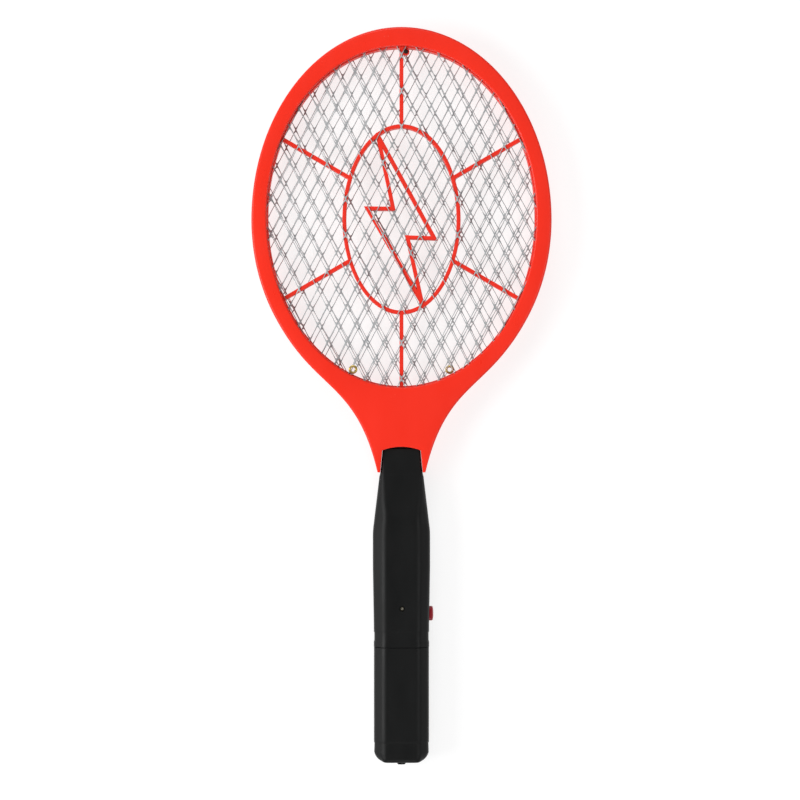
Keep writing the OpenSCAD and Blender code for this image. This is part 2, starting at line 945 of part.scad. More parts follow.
// A cell with its positive button towards +Y, its button's tip at y = 0
module cell() {
  translate([0, 0, 0])
    rotate([90, 0, 0])
      cylinder(r = 2.7, h = 2);
  translate([0, -1.2, 0])
    rotate([90, 0, 0])
      difference() {
        cylinder(r = cell_r, h = cell_l - 1.2);
        translate([0, 0, cell_l - 1.5])
          difference() {
            cylinder(r = cell_r + 1, h = 1);
            cylinder(r = cell_r - 0.8, h = 3, center = true);
          }
      }
}

module battery_left() {
  color([0.18, 0.18, 0.2])
    translate([-cell_x, bay_top_y - plate_t, mid_z])
      cell();
}

module battery_right() {
  color([0.18, 0.18, 0.2])
    translate([cell_x, bay_end_y + plate_t, mid_z])
      rotate(180)
        cell();
}

spring_l = bay_top_y - bay_end_y - 2 * plate_t - cell_l;

module positive_contact() {
  color(METAL)
    block(-cell_x - 4.5, -cell_x + 4.5, bay_top_y - plate_t, bay_top_y, plate_z, mid_z + 5);
}

module negative_contact() {
  color(METAL) {
    block(cell_x - 4.5, cell_x + 4.5, bay_top_y - plate_t, bay_top_y, plate_z, mid_z + 5);
    translate([cell_x, bay_top_y - plate_t + 0.05, mid_z])
      coil_spring(4, 2.8, spring_l - 0.05);
  }
}

module bridge_contact() {
  color(METAL) {
    block(-cell_x - 4.5, cell_x + 4.5, bay_end_y, bay_end_y + plate_t, plate_z, mid_z + 4.5);
    translate([-cell_x, bay_end_y + plate_t - 0.05, mid_z])
      rotate(180)
        coil_spring(4, 2.8, spring_l - 0.05);
  }
}

module positive_battery_lead() {
  color([0.75, 0.08, 0.06])
    tube(rounded_route([[-5, bay_top_y, mid_z + 4], [-5, -150, mid_z + 4], [-4.5, -144, 10],
                        [-4.5, -139.8, part_z + lead_r]], 3), lead_r);
}

module negative_battery_lead() {
  color([0.08, 0.08, 0.08])
    tube(rounded_route([[5, bay_top_y, mid_z + 4], [5, -150, mid_z + 4], [4.5, -144, 10],
                        [4.5, -139.8, part_z + lead_r]], 3), lead_r);
}

// ---------- battery sleeve and its screw ----------

cover_screw_r = 1.4;

module sleeve_outline(inset) {
  half = sleeve_w / 2 - inset;
  r = end_r - inset;
  hull() {
    translate([-half, seam_y])
      square([2 * half, 1]);
    for (side = [-1, 1])
      translate([side * (half - r), sleeve_end_y + inset + r])
        circle(r = r, $fn = 64);
  }
}

module battery_sleeve() {
  mouth = seam_y - seam_gap;
  w = sleeve_w / 2;
  corner = 0.42 * sleeve_wall;
  color(BLACK)
    difference() {
      intersection() {
        octagon_loft([for (y = [mouth, sleeve_end_y])
          [y, w, sleeve_t, flat_w / 2, side_h / 2]]);
        linear_extrude(grip_t)
          sleeve_outline(0);
      }
      intersection() {
        octagon_loft([for (y = [mouth + 1, sleeve_end_y + wall])
          [y, w - sleeve_wall, sleeve_t - sleeve_wall, flat_w / 2 - corner, side_h / 2 - corner]]);
        linear_extrude(grip_t)
          sleeve_outline(sleeve_wall);
      }
      groove(sleeve_groove_y, w, sleeve_t);
      translate([0, sleeve_end_y - 1, mid_z])
        rotate([-90, 0, 0])
          cylinder(r = cover_screw_r + 0.15, h = wall + 2);
    }
}

module cover_screw() {
  color([0.2, 0.2, 0.2])
    translate([0, sleeve_end_y - 0.05, mid_z])
      rotate([-90, 0, 0])
        screw(cover_screw_r, 6, 2.9, screw_proud - 0.05);
}

head_front_shell();
head_back_shell();
head_screws();
front_rib_frame();
back_rib_frame();
front_mesh();
middle_mesh();
back_mesh();
front_mesh_eyelet();
back_mesh_eyelet();
mesh_rivet();
high_voltage_lead();
front_ground_lead();
back_ground_lead();
handle_front_shell();
handle_back_shell();
handle_screws();
push_button();
switch_plunger();
switch_body();
led();
circuit_board();
transformer_core();
transformer_winding();
output_capacitor();
multiplier_capacitors();
rectifier_diodes();
transistor();
resistors();
battery_tray();
battery_left();
battery_right();
positive_contact();
negative_contact();
bridge_contact();
positive_battery_lead();
negative_battery_lead();
battery_sleeve();
cover_screw();
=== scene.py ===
"""Looks of an electric fly swatter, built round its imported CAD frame. Sizes are in millimetres."""

import math
import random

import bpy
from mathutils import Matrix, Vector
from mathutils.geometry import delaunay_2d_cdt


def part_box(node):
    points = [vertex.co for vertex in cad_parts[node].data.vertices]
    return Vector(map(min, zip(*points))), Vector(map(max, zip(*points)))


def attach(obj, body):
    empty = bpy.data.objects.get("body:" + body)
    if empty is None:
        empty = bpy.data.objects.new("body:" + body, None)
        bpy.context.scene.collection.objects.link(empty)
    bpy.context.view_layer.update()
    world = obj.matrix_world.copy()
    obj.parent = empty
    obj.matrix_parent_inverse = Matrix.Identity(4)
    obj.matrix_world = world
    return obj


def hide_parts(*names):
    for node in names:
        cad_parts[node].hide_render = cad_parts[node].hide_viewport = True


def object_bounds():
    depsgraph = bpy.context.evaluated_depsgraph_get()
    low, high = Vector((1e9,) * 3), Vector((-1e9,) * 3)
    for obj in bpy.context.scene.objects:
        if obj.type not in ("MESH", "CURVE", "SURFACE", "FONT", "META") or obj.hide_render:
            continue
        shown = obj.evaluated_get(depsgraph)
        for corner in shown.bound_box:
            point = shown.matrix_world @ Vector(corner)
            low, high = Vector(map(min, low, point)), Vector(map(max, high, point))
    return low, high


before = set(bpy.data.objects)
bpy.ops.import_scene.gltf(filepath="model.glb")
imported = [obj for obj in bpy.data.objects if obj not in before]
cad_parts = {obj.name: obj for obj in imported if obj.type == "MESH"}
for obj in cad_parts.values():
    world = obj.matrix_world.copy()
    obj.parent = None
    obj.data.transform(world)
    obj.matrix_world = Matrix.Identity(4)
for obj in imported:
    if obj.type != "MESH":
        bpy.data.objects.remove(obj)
cad_low, cad_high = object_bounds()

MM = 0.001
TAU = 2 * math.pi
DICE = random.Random(11)


def span(node):
    """Lowest and highest corner of a CAD node."""
    low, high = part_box(node)
    return low / MM, high / MM


# ---------- places that the CAD gives ----------

HEAD_LOW, HEAD_HIGH = span("head_front_shell")
GRID_LOW, GRID_HIGH = span("front_mesh")
GRIP_LOW, GRIP_HIGH = span("handle_front_shell")
SLEEVE_LOW, SLEEVE_HIGH = span("battery_sleeve")
BUTTON_LOW, BUTTON_HIGH = span("push_button")

MID_Z = HEAD_LOW.z
HEAD_HALF_T = HEAD_HIGH.z - MID_Z
HEAD_RX = HEAD_HIGH.x
HEAD_UP, HEAD_DOWN = 117.7, 110.3
OVAL_Y = HEAD_HIGH.y - HEAD_UP
PRONG_Y = HEAD_LOW.y
MOUTH_Y = PRONG_Y + 15.6
GRID_EDGE = 2.9
OPEN_RX = GRID_HIGH.x - GRID_EDGE
OPEN_RY = (GRID_HIGH.y - GRID_LOW.y) / 2 - GRID_EDGE
OPEN_Y = (GRID_HIGH.y + GRID_LOW.y) / 2
SEAM_Y = GRIP_LOW.y
END_Y = SLEEVE_LOW.y
LED = (span("led")[0] + span("led")[1]) / 2


# ---------- meshes ----------

def add_piece(name, verts, faces, body, looks, replaces=(), face_looks=None):
    """A smooth-shaded mesh piece that rides on a CAD body."""
    mesh = bpy.data.meshes.new(name)
    mesh.from_pydata([Vector(v) * MM for v in verts], [], faces)
    mesh.validate()
    piece = bpy.data.objects.new(name, mesh)
    bpy.context.scene.collection.objects.link(piece)
    for look in looks:
        mesh.materials.append(look)
    if face_looks:
        mesh.polygons.foreach_set("material_index", face_looks)
    mesh.shade_smooth()
    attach(piece, body)
    if replaces:
        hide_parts(*replaces)
    return piece


def soften(piece, width, angle=50, segments=2):
    """Rounds the sharp edges and keeps the flat faces flat."""
    bevel = piece.modifiers.new("edges", "BEVEL")
    bevel.width = width * MM
    bevel.segments = segments
    bevel.limit_method = "ANGLE"
    bevel.angle_limit = math.radians(angle)
    bevel.miter_outer = "MITER_ARC"
    normals = piece.modifiers.new("normals", "WEIGHTED_NORMAL")
    normals.keep_sharp = False


def soften_node(name, width, look, angle=40, dissolve=True):
    """A carried-over CAD node: joined at its seams, its edges rounded if width is not zero, in a new
    material.
    """
    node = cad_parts[name]
    weld = node.modifiers.new("weld", "WELD")
    weld.merge_threshold = 0.002 * MM
    if dissolve:
        flats = node.modifiers.new("flats", "DECIMATE")
        flats.decimate_type = "DISSOLVE"
        flats.angle_limit = math.radians(0.5)
    if width:
        soften(node, width, angle)
    for index in range(len(node.material_slots)):
        node.material_slots[index].material = look
    node.data.shade_smooth()
    return node


def strip(a, b, closed=True):
    """Quads between two rows of vertex numbers of the same length."""
    n = len(a)
    last = n if closed else n - 1
    return [(a[i], a[(i + 1) % n], b[(i + 1) % n], b[i]) for i in range(last)]


class Builder:
    """Vertices and faces of one piece, gathered row by row."""

    def __init__(self):
        self.verts, self.faces, self.looks = [], [], []

    def row(self, points):
        start = len(self.verts)
        self.verts.extend(Vector(p) for p in points)
        return list(range(start, len(self.verts)))

    def add(self, faces, flip=False, look=0):
        for f in faces:
            self.faces.append(tuple(reversed(f)) if flip else tuple(f))
            self.looks.append(look)

    def link(self, rows, flip=False, closed=True, look=0):
        for a, b in zip(rows, rows[1:]):
            self.add(strip(a, b, closed), flip, look)

    def fill(self, outer, holes=(), flip=False, look=0):
        """Fills the flat area between an outer row and its holes, facing +Z."""
        rows = [outer, *holes]
        ids = [i for row in rows for i in row]
        flat = [Vector((self.verts[i].x, self.verts[i].y)) for i in ids]
        edges, start = [], 0
        for row in rows:
            edges += [(start + k, start + (k + 1) % len(row)) for k in range(len(row))]
            start += len(row)
        points, _, triangles, origin, _, _ = delaunay_2d_cdt(flat, edges, [], 0, 1e-6)
        loops, start = [], 0
        for row in rows:
            loops.append(flat[start:start + len(row)])
            start += len(row)
        for tri in triangles:
            centre = sum((points[k] for k in tri), Vector((0, 0))) / 3
            if inside(centre, loops[0]) and not any(inside(centre, hole) for hole in loops[1:]):
                a, b, c = (points[k] for k in tri)
                turn = (b - a).cross(c - a)
                corners = [ids[origin[k][0]] for k in tri]
                self.add([corners if turn > 0 else corners[::-1]], flip, look)

    def piece(self, name, body, slot, looks, replaces=()):
        return add_piece(name, self.verts, self.faces, body, looks, replaces, self.looks)


def inside(p, loop):
    hit, q = False, loop[-1]
    for r in loop:
        if (r.y > p.y) != (q.y > p.y) and p.x < (q.x - r.x) * (p.y - r.y) / (q.y - r.y) + r.x:
            hit = not hit
        q = r
    return hit


def ellipse(rx, ry, cy, steps, cx=0.0):
    return [Vector((cx + rx * math.cos(TAU * i / steps), cy + ry * math.sin(TAU * i / steps)))
            for i in range(steps)]


def lathe(builder, profile, centre, axis, steps=32, look=0):
    """Turns a profile of (radius, height) about an axis through centre. Radius 0 closes on the axis."""
    spin = Vector(axis).to_track_quat("Z", "Y").to_matrix()
    rows = []
    for r, h in profile:
        count = 1 if r == 0 else steps
        rows.append(builder.row(
            Vector(centre) + spin @ Vector((r * math.cos(TAU * i / steps), r * math.sin(TAU * i / steps), h))
            for i in range(count)))
    for a, b in zip(rows, rows[1:]):
        if len(a) == 1 and len(b) == 1:
            continue
        if len(a) == 1:
            builder.add([(a[0], b[(i + 1) % steps], b[i]) for i in range(steps)], True, look)
        elif len(b) == 1:
            builder.add([(a[i], a[(i + 1) % steps], b[0]) for i in range(steps)], False, look)
        else:
            builder.add(strip(a, b), False, look)
    return rows


def cut(piece, cutters):
    """Takes closed solids out of a piece for good."""
    for verts, faces in cutters:
        mesh = bpy.data.meshes.new("cutter")
        mesh.from_pydata([Vector(v) * MM for v in verts], [], faces)
        tool = bpy.data.objects.new("cutter", mesh)
        bpy.context.scene.collection.objects.link(tool)
        take = piece.modifiers.new("cut", "BOOLEAN")
        take.operation, take.solver, take.object = "DIFFERENCE", "EXACT", tool
        bpy.context.view_layer.update()
        result = bpy.data.meshes.new_from_object(piece.evaluated_get(bpy.context.evaluated_depsgraph_get()))
        piece.modifiers.remove(take)
        piece.data = result
        bpy.data.objects.remove(tool)
    piece.data.shade_smooth()


def prism(points, z0, z1):
    """A closed solid over a convex outline."""
    n = len(points)
    verts = [(p.x, p.y, z0) for p in points] + [(p.x, p.y, z1) for p in points]
    faces = [tuple(range(n))[::-1], tuple(range(n, 2 * n))]
    faces += [(i, (i + 1) % n, n + (i + 1) % n, n + i) for i in range(n)]
    return verts, faces


# ---------- materials ----------

def linear(hexa):
    """Colour as Blender wants it, from its usual hexadecimal form."""
    parts = [int(hexa[i:i + 2], 16) / 255 for i in (0, 2, 4)]
    return tuple(c / 12.92 if c <= 0.04045 else ((c + 0.055) / 1.055) ** 2.4 for c in parts) + (1.0,)


class Look:
    """A procedural material: nodes are added by the steps that it is asked for."""

    def __init__(self, name, metallic=0.0, ior=1.5):
        self.material = bpy.data.materials.new(name)
        self.material.use_nodes = True
        tree = self.material.node_tree
        self.nodes, self.links = tree.nodes, tree.links
        self.shader = self.nodes["Principled BSDF"]
        self.shader.inputs["Metallic"].default_value = metallic
        self.shader.inputs["IOR"].default_value = ior
        self.coords = self.nodes.new("ShaderNodeTexCoord").outputs["Object"]

    def noise(self, size, detail=3.0, stretch=(1, 1, 1), rough=0.5):
        """Noise with features of about size millimetres, drawn out along an axis by stretch."""
        place = self.nodes.new("ShaderNodeMapping")
        place.inputs["Scale"].default_value = [1 / (size * MM * s) for s in stretch]
        self.links.new(self.coords, place.inputs["Vector"])
        noise = self.nodes.new("ShaderNodeTexNoise")
        noise.inputs["Scale"].default_value = 1.0
        noise.inputs["Detail"].default_value = detail
        noise.inputs["Roughness"].default_value = rough
        self.links.new(place.outputs["Vector"], noise.inputs["Vector"])
        return noise.outputs["Fac"]

    def ramp(self, value, stops):
        """Colour or grey level along a value. Stops are (place, hexadecimal colour or number)."""
        ramp = self.nodes.new("ShaderNodeValToRGB")
        points = ramp.color_ramp.elements
        while len(points) < len(stops):
            points.new(0.5)
        for point, (place, colour) in zip(points, stops):
            point.position = place
            point.color = linear(colour) if isinstance(colour, str) else (colour, colour, colour, 1)
        self.links.new(value, ramp.inputs["Fac"])
        return ramp.outputs["Color"]

    def mix(self, share, a, b, mode="MIX"):
        mix = self.nodes.new("ShaderNodeMix")
        mix.data_type, mix.blend_type = "RGBA", mode
        for socket, value in ((mix.inputs["Factor"], share), (mix.inputs[6], a), (mix.inputs[7], b)):
            if isinstance(value, (int, float, tuple)):
                socket.default_value = value
            else:
                self.links.new(value, socket)
        return mix.outputs[2]

    def colour(self, value):
        self.links.new(value, self.shader.inputs["Base Color"])
        return self

    def roughness(self, value):
        self.links.new(value, self.shader.inputs["Roughness"])
        return self

    def bump(self, height, depth, strength=1.0):
        """Relief of depth millimetres, on top of any relief asked for before."""
        bump = self.nodes.new("ShaderNodeBump")
        bump.inputs["Strength"].default_value = strength
        bump.inputs["Distance"].default_value = depth * MM
        self.links.new(height, bump.inputs["Height"])
        socket = self.shader.inputs["Normal"]
        if socket.is_linked:
            self.links.new(socket.links[0].from_socket, bump.inputs["Normal"])
        self.links.new(bump.outputs["Normal"], socket)
        return self


def moulded_plastic(name, tones, rough, grain, grain_size=0.35, specular=0.5, flow=(1, 3, 1)):
    """Injection-moulded plastic: cloudy tone, faint flow streaks, fine grain and a few dust specks."""
    look = Look(name, ior=1.49)
    clouds = look.noise(38, 2.0, flow)
    tone = look.ramp(clouds, [(0.3, tones[0]), (0.7, tones[1])])
    specks = look.ramp(look.noise(1.1, 1.0), [(0.79, 0.0), (0.83, 1.0)])
    look.colour(look.mix(look.mix(1.0, specks, (0.35, 0.35, 0.35, 1), "MULTIPLY"), tone, linear(tones[2])))
    look.roughness(look.ramp(look.noise(9, 4.0, flow), [(0.3, rough - 0.05), (0.7, rough + 0.06)]))
    look.bump(look.noise(grain_size, 2.0), grain)
    look.bump(look.noise(14, 2.0), grain * 2.5)
    look.shader.inputs["Specular IOR Level"].default_value = specular
    return look.material


def worn_metal(name, tones, rough, streak=(1, 1, 1), size=2.0, bump=0.01):
    """Bare metal with uneven tone, fine scratches and dull patches."""
    look = Look(name, metallic=1.0)
    look.colour(look.ramp(look.noise(size * 3, 3.0), [(0.3, tones[0]), (0.7, tones[1])]))
    look.roughness(look.ramp(look.noise(size, 4.0, streak), [(0.3, rough - 0.08), (0.7, rough + 0.12)]))
    look.bump(look.noise(size * 0.15, 3.0, streak), bump)
    return look.material


def coated(name, tones, rough, size=1.5, bump=0.01, metallic=0.0, stretch=(1, 1, 1)):
    """Small part with a painted, dipped or printed skin."""
    look = Look(name, metallic=metallic)
    look.colour(look.ramp(look.noise(size, 3.0, stretch), [(0.35, tones[0]), (0.65, tones[1])]))
    look.roughness(look.ramp(look.noise(size * 2, 2.0), [(0.3, rough - 0.05), (0.7, rough + 0.08)]))
    look.bump(look.noise(size * 0.3, 3.0, stretch), bump)
    return look.material


def wound_wire(name):
    """Turns of fine enamelled wire under clear yellow tape, running round the Y axis."""
    look = Look(name)
    wave = look.nodes.new("ShaderNodeTexWave")
    wave.bands_direction = "Y"
    wave.inputs["Scale"].default_value = 1 / (0.35 * MM) / 20
    wave.inputs["Distortion"].default_value = 0.6
    look.links.new(look.coords, wave.inputs["Vector"])
    turns = wave.outputs["Fac"]
    look.colour(look.ramp(turns, [(0.1, "9a6a1c"), (0.7, "d9a93a")]))
    look.roughness(look.ramp(look.noise(3), [(0.3, 0.25), (0.7, 0.4)]))
    look.bump(turns, 0.08)
    return look.material


def cell_jacket(name):
    """Shrunk printed film of a dry cell, plain dark with faint wrinkles."""
    look = Look(name, metallic=0.25)
    clouds = look.noise(6, 2.0)
    look.colour(look.ramp(clouds, [(0.3, "1d2226"), (0.7, "272d31")]))
    look.roughness(look.ramp(look.noise(5), [(0.3, 0.25), (0.7, 0.36)]))
    look.bump(look.noise(1.6, 3.0, (1, 4, 1)), 0.03)
    return look.material


def clear_epoxy(name):
    """Water-clear resin of a small lamp."""
    look = Look(name, ior=1.54)
    look.colour(look.ramp(look.noise(1.5), [(0.3, "8a8474"), (0.7, "9c9788")]))
    look.roughness(look.ramp(look.noise(0.8), [(0.3, 0.2), (0.7, 0.3)]))
    look.shader.inputs["Transmission Weight"].default_value = 0.3
    look.bump(look.noise(1.0), 0.01)
    return look.material


LOOKS = {
    "red_shell": moulded_plastic("red_shell", ("ef2c18", "f5301c", "ff8070"), 0.32, 0.005, 0.6, 0.3),
    "red_rib": moulded_plastic("red_rib", ("e42c1a", "ec301e", "ff8070"), 0.38, 0.005, 0.6, 0.35),
    "black_shell": moulded_plastic("black_shell", ("090a0a", "0d0e0e", "3c3f40"), 0.46, 0.01, 0.32, 0.2),
    "black_tray": moulded_plastic("black_tray", ("161616", "1d1d1d", "4a4a4a"), 0.6, 0.01, 0.5, 0.45),
    "grid_metal": worn_metal("grid_metal", ("aeb0b2", "c8cacb"), 0.5, size=2.5, bump=0.02),
    "eyelet_brass": worn_metal("eyelet_brass", ("c4a652", "e2cc84"), 0.32, size=1.2),
    # mesh rivet metal, darkened to near black as painted shade for the shadowed recess round it
    "rivet_dark": worn_metal("rivet_dark", ("2a2523", "453c37"), 0.45, size=1.0),
    "screw_steel": worn_metal("screw_steel", ("8e9093", "b2b4b6"), 0.3, size=0.8),
    "screw_black": worn_metal("screw_black", ("0b0b0c", "151516"), 0.4, size=0.8),
    "wire_red": coated("wire_red", ("a01410", "b81c16"), 0.4),
    "wire_white": coated("wire_white", ("d8d6ce", "ecebe4"), 0.42),
    "wire_black": coated("wire_black", ("121212", "1b1b1b"), 0.42),
    "button_red": moulded_plastic("button_red", ("8c0e1c", "9c1222", "c85a60"), 0.35, 0.004, 0.4, 0.4,
                                  (1, 1, 1)),
    "switch_white": coated("switch_white", ("dedbd0", "eeece4"), 0.4, 2.0),
    "switch_black": coated("switch_black", ("171717", "202020"), 0.45, 2.0),
    "led_lens": clear_epoxy("led_lens"),
    "board_brown": coated("board_brown", ("7c5526", "936a33"), 0.5, 1.2, 0.015),
    "ferrite": coated("ferrite", ("2b2b2d", "3a3a3c"), 0.55, 0.8, 0.03),
    "winding_tape": wound_wire("winding_tape"),
    "capacitor_red": coated("capacitor_red", ("8a2114", "9f2c1b"), 0.28, 3.0),
    "capacitor_blue": coated("capacitor_blue", ("1c4f94", "2662ab"), 0.3, 2.5),
    "diode_black": coated("diode_black", ("141415", "1e1e20"), 0.4, 1.0),
    "transistor_black": coated("transistor_black", ("161617", "202022"), 0.5, 0.8, 0.02),
    "resistor_tan": coated("resistor_tan", ("b99a68", "cbae7c"), 0.4, 1.0),
    "cell_jacket": cell_jacket("cell_jacket"),
    "cell_steel": worn_metal("cell_steel", ("a3a5a7", "c4c6c8"), 0.25, size=1.0),
    "contact_nickel": worn_metal("contact_nickel", ("a8a59c", "c6c3ba"), 0.26, size=1.0),
}


# ---------- head shells ----------

HEAD_WALL = 1.8
LAND_W = 3.2
LAND_Z = 4.8
EDGE_R = 1.5
OPEN_EDGE_R = 1.0
PARTING = 0.25
FLARE_A = math.radians(-32.5)
FLARE_LEAD = 53
FLARE_TIP = Vector((28.3, 10.5))
PRONG_X = 14.6
SLOT_TOP, SLOT_LOW = 11.3, 13.1
SLOT_R = 33
BOSS_XY = [(15.2, -20), (40, 10.5)]
BOSS_R = 2.8
ARC_STEPS = 5


def bezier(p, t):
    u = 1 - t
    return u ** 3 * p[0] + 3 * u * u * t * p[1] + 3 * u * t * t * p[2] + t ** 3 * p[3]


def head_outline():
    """Outline of the head, anticlockwise from the right prong.

    Also gives the edge radius at each point, and how many points come before the slot."""
    start = Vector((HEAD_RX * math.cos(FLARE_A), OVAL_Y + HEAD_DOWN * math.sin(FLARE_A)))
    lead = Vector((HEAD_RX * math.sin(FLARE_A), -HEAD_DOWN * math.cos(FLARE_A))).normalized()
    curve = [start, start + FLARE_LEAD * lead, FLARE_TIP, Vector((PRONG_X, PRONG_Y))]
    flare = [bezier(curve, i / 32) for i in range(33)]
    turn = math.pi - 2 * FLARE_A
    arc = []
    for i in range(1, 130):
        a = FLARE_A + turn * i / 130
        height = HEAD_UP if math.sin(a) > 0 else HEAD_DOWN
        arc.append(Vector((HEAD_RX * math.cos(a), OVAL_Y + height * math.sin(a))))
    outer = flare[::-1] + arc + [Vector((-p.x, p.y)) for p in flare]

    slope = (SLOT_LOW - SLOT_TOP) / (MOUTH_Y + 3 - PRONG_Y + 1)

    def slot_x(y):
        return SLOT_TOP + (MOUTH_Y + 3 - y) * slope

    arch_c = MOUTH_Y - SLOT_R
    corner_x = SLOT_TOP
    for _ in range(8):
        corner_y = arch_c + math.sqrt(SLOT_R ** 2 - corner_x ** 2)
        corner_x = slot_x(corner_y)
    side = [Vector((-slot_x(y), y)) for y in (PRONG_Y, PRONG_Y + 3.8, PRONG_Y + 7.6, corner_y)]
    reach = math.asin(corner_x / SLOT_R)
    arch = [Vector((SLOT_R * math.sin(a), arch_c + SLOT_R * math.cos(a)))
            for a in (reach * (i / 8 - 1) for i in range(1, 16))]
    slot = side + arch + [Vector((-p.x, p.y)) for p in side[::-1]]

    radii = [min(EDGE_R, 0.4 + max(0.0, p.y - PRONG_Y) * 0.05) for p in outer]
    return outer + slot, radii + [0.4] * len(slot), len(outer)


def inset(loop, amounts, blunt=0.5):
    """Moves each point of an anticlockwise loop inwards by its own amount.

    A smaller blunt lets sharp corners reach further."""
    out, n = [], len(loop)
    for i, p in enumerate(loop):
        before = (p - loop[i - 1]).normalized()
        after = (loop[(i + 1) % n] - p).normalized()
        mean = before + after
        normal = Vector((-mean.y, mean.x)).normalized()
        square = max(blunt, normal.dot(Vector((-before.y, before.x))))
        out.append(p + normal * (amounts[i] / square))
    return out


def hollow_loop(outer, depth, floor_y):
    """The outline's upper part drawn in by depth, closed straight across at floor_y."""
    drawn = inset(outer, [depth] * len(outer))
    kept = [p for p in drawn[1:-1] if p.y > floor_y + 0.2]
    ends = []
    for a, b in ((kept[0], kept[1]), (kept[-1], kept[-2])):
        ends.append(a + (a - b) * ((a.y - floor_y) / (b.y - a.y)))
    return [ends[0], *kept, ends[1]]


def head_shell(name, side, node):
    """One closed shell of the head: side is 1 for the front, -1 for the back."""
    shell = Builder()
    flip = side < 0
    outline, radii, outer_count = head_outline()

    def level(loop, z):
        return shell.row((p.x, p.y, MID_Z + side * z) for p in loop)

    def opening(grow):
        return ellipse(OPEN_RX + grow, OPEN_RY + grow, OPEN_Y, 150)

    roof = HEAD_HALF_T - HEAD_WALL
    quarter = [math.pi / 2 * k / ARC_STEPS for k in range(ARC_STEPS + 1)]

    outside = [level(inset(outline, [PARTING] * len(outline)), 0), level(outline, PARTING)]
    for a in quarter:
        loop = inset(outline, [r * (1 - math.cos(a)) for r in radii])
        outside.append(shell.row((p.x, p.y, MID_Z + side * (HEAD_HALF_T - r + r * math.sin(a)))
                                 for p, r in zip(loop, radii)))
    shell.link(outside, flip)

    rim = [level(opening(OPEN_EDGE_R * (1 - math.sin(a))), HEAD_HALF_T - OPEN_EDGE_R * (1 - math.cos(a)))
           for a in quarter]
    rim += [level(opening(0), LAND_Z), level(opening(LAND_W), LAND_Z), level(opening(LAND_W), roof)]
    shell.link(rim, flip)

    screws = [(s * x, y) for x, y in BOSS_XY for s in (-1, 1)]
    wells = []
    if side < 0:
        for x, y in screws:
            well = [level(ellipse(r, r, y, 28, x), HEAD_HALF_T - z)
                    for r, z in ((2.55, 0), (2.3, 0.25), (2.3, 2.5))]
            shell.link(well, flip)
            shell.add([tuple(well[-1])], flip)
            wells.append(well[0])
    shell.fill(outside[-1], [rim[0], *wells], flip)

    inner = hollow_loop(outline[:outer_count], HEAD_WALL, MOUTH_Y + 3)
    hollow = [level(inner, roof), level(inner, 0)]
    shell.link(hollow, flip)
    bosses = []
    for x, y in screws:
        boss = [level(ellipse(BOSS_R, BOSS_R, y, 28, x), z) for z in (roof, 0.05)]
        shell.link(boss, not flip)
        shell.add([tuple(boss[-1])], not flip)
        bosses.append(boss[0])
    shell.fill(hollow[0], [rim[-1], *bosses], not flip)
    shell.fill(outside[0], [hollow[1]], not flip)

    return shell.piece(name, "body", "red_shell", [LOOKS["red_shell"]], [node])


# ---------- rib frames ----------

RIB_HALF = 1.2
RIB_RX, RIB_RY = 35, 57
RIB_LIFT = 0.5
SPOKE_FROM = (31.2, 25.1)
SPOKE_A = math.radians(30)
BOLT = [(-14.5, 51.5), (20.2, -11.6), (3.7, -11), (12.5, -51), (-20.8, 6.7), (-5, 6.5)]
LEDGE = 0.8
LEAD_A = 25


def bar(p, q, half):
    along = (q - p).normalized()
    side = Vector((-along.y, along.x)) * half
    return [p - side, q - side, q + side, p + side]


def turned(loop):
    """The loop, anticlockwise."""
    area = sum(a.cross(b) for a, b in zip(loop, loop[1:] + loop[:1]))
    return loop if area > 0 else loop[::-1]


def region_loops(outlines, covered):
    """Edges of the area that covered() says is solid, among outlines that cross.

    The solid lies on the left of each loop."""
    points, edges = [], []
    for loop in outlines:
        start = len(points)
        points += loop
        edges += [(start + k, start + (k + 1) % len(loop)) for k in range(len(loop))]
    points, _, triangles, _, _, _ = delaunay_2d_cdt(points, edges, [], 0, 1e-5)
    sides = set()
    for tri in triangles:
        a, b, c = (points[k] for k in tri)
        if covered((a + b + c) / 3):
            order = tri if (b - a).cross(c - a) > 0 else tri[::-1]
            sides.update((order[k], order[(k + 1) % 3]) for k in range(3))
    after = {a: b for a, b in sides if (b, a) not in sides}
    loops = []
    while after:
        first, place = next(iter(sorted(after.items())))
        loop = [first]
        while place != first:
            loop.append(place)
            place = after.pop(place)
        after.pop(first, None)
        loops.append(tidy_loop([points[k] for k in loop]))
    return loops


def tidy_loop(loop, closest=0.3):
    """Drops points that are nearly on top of the one before."""
    kept = [loop[0]]
    for p in loop[1:]:
        if (p - kept[-1]).length > closest:
            kept.append(p)
    if (kept[-1] - kept[0]).length <= closest:
        kept.pop()
    return kept


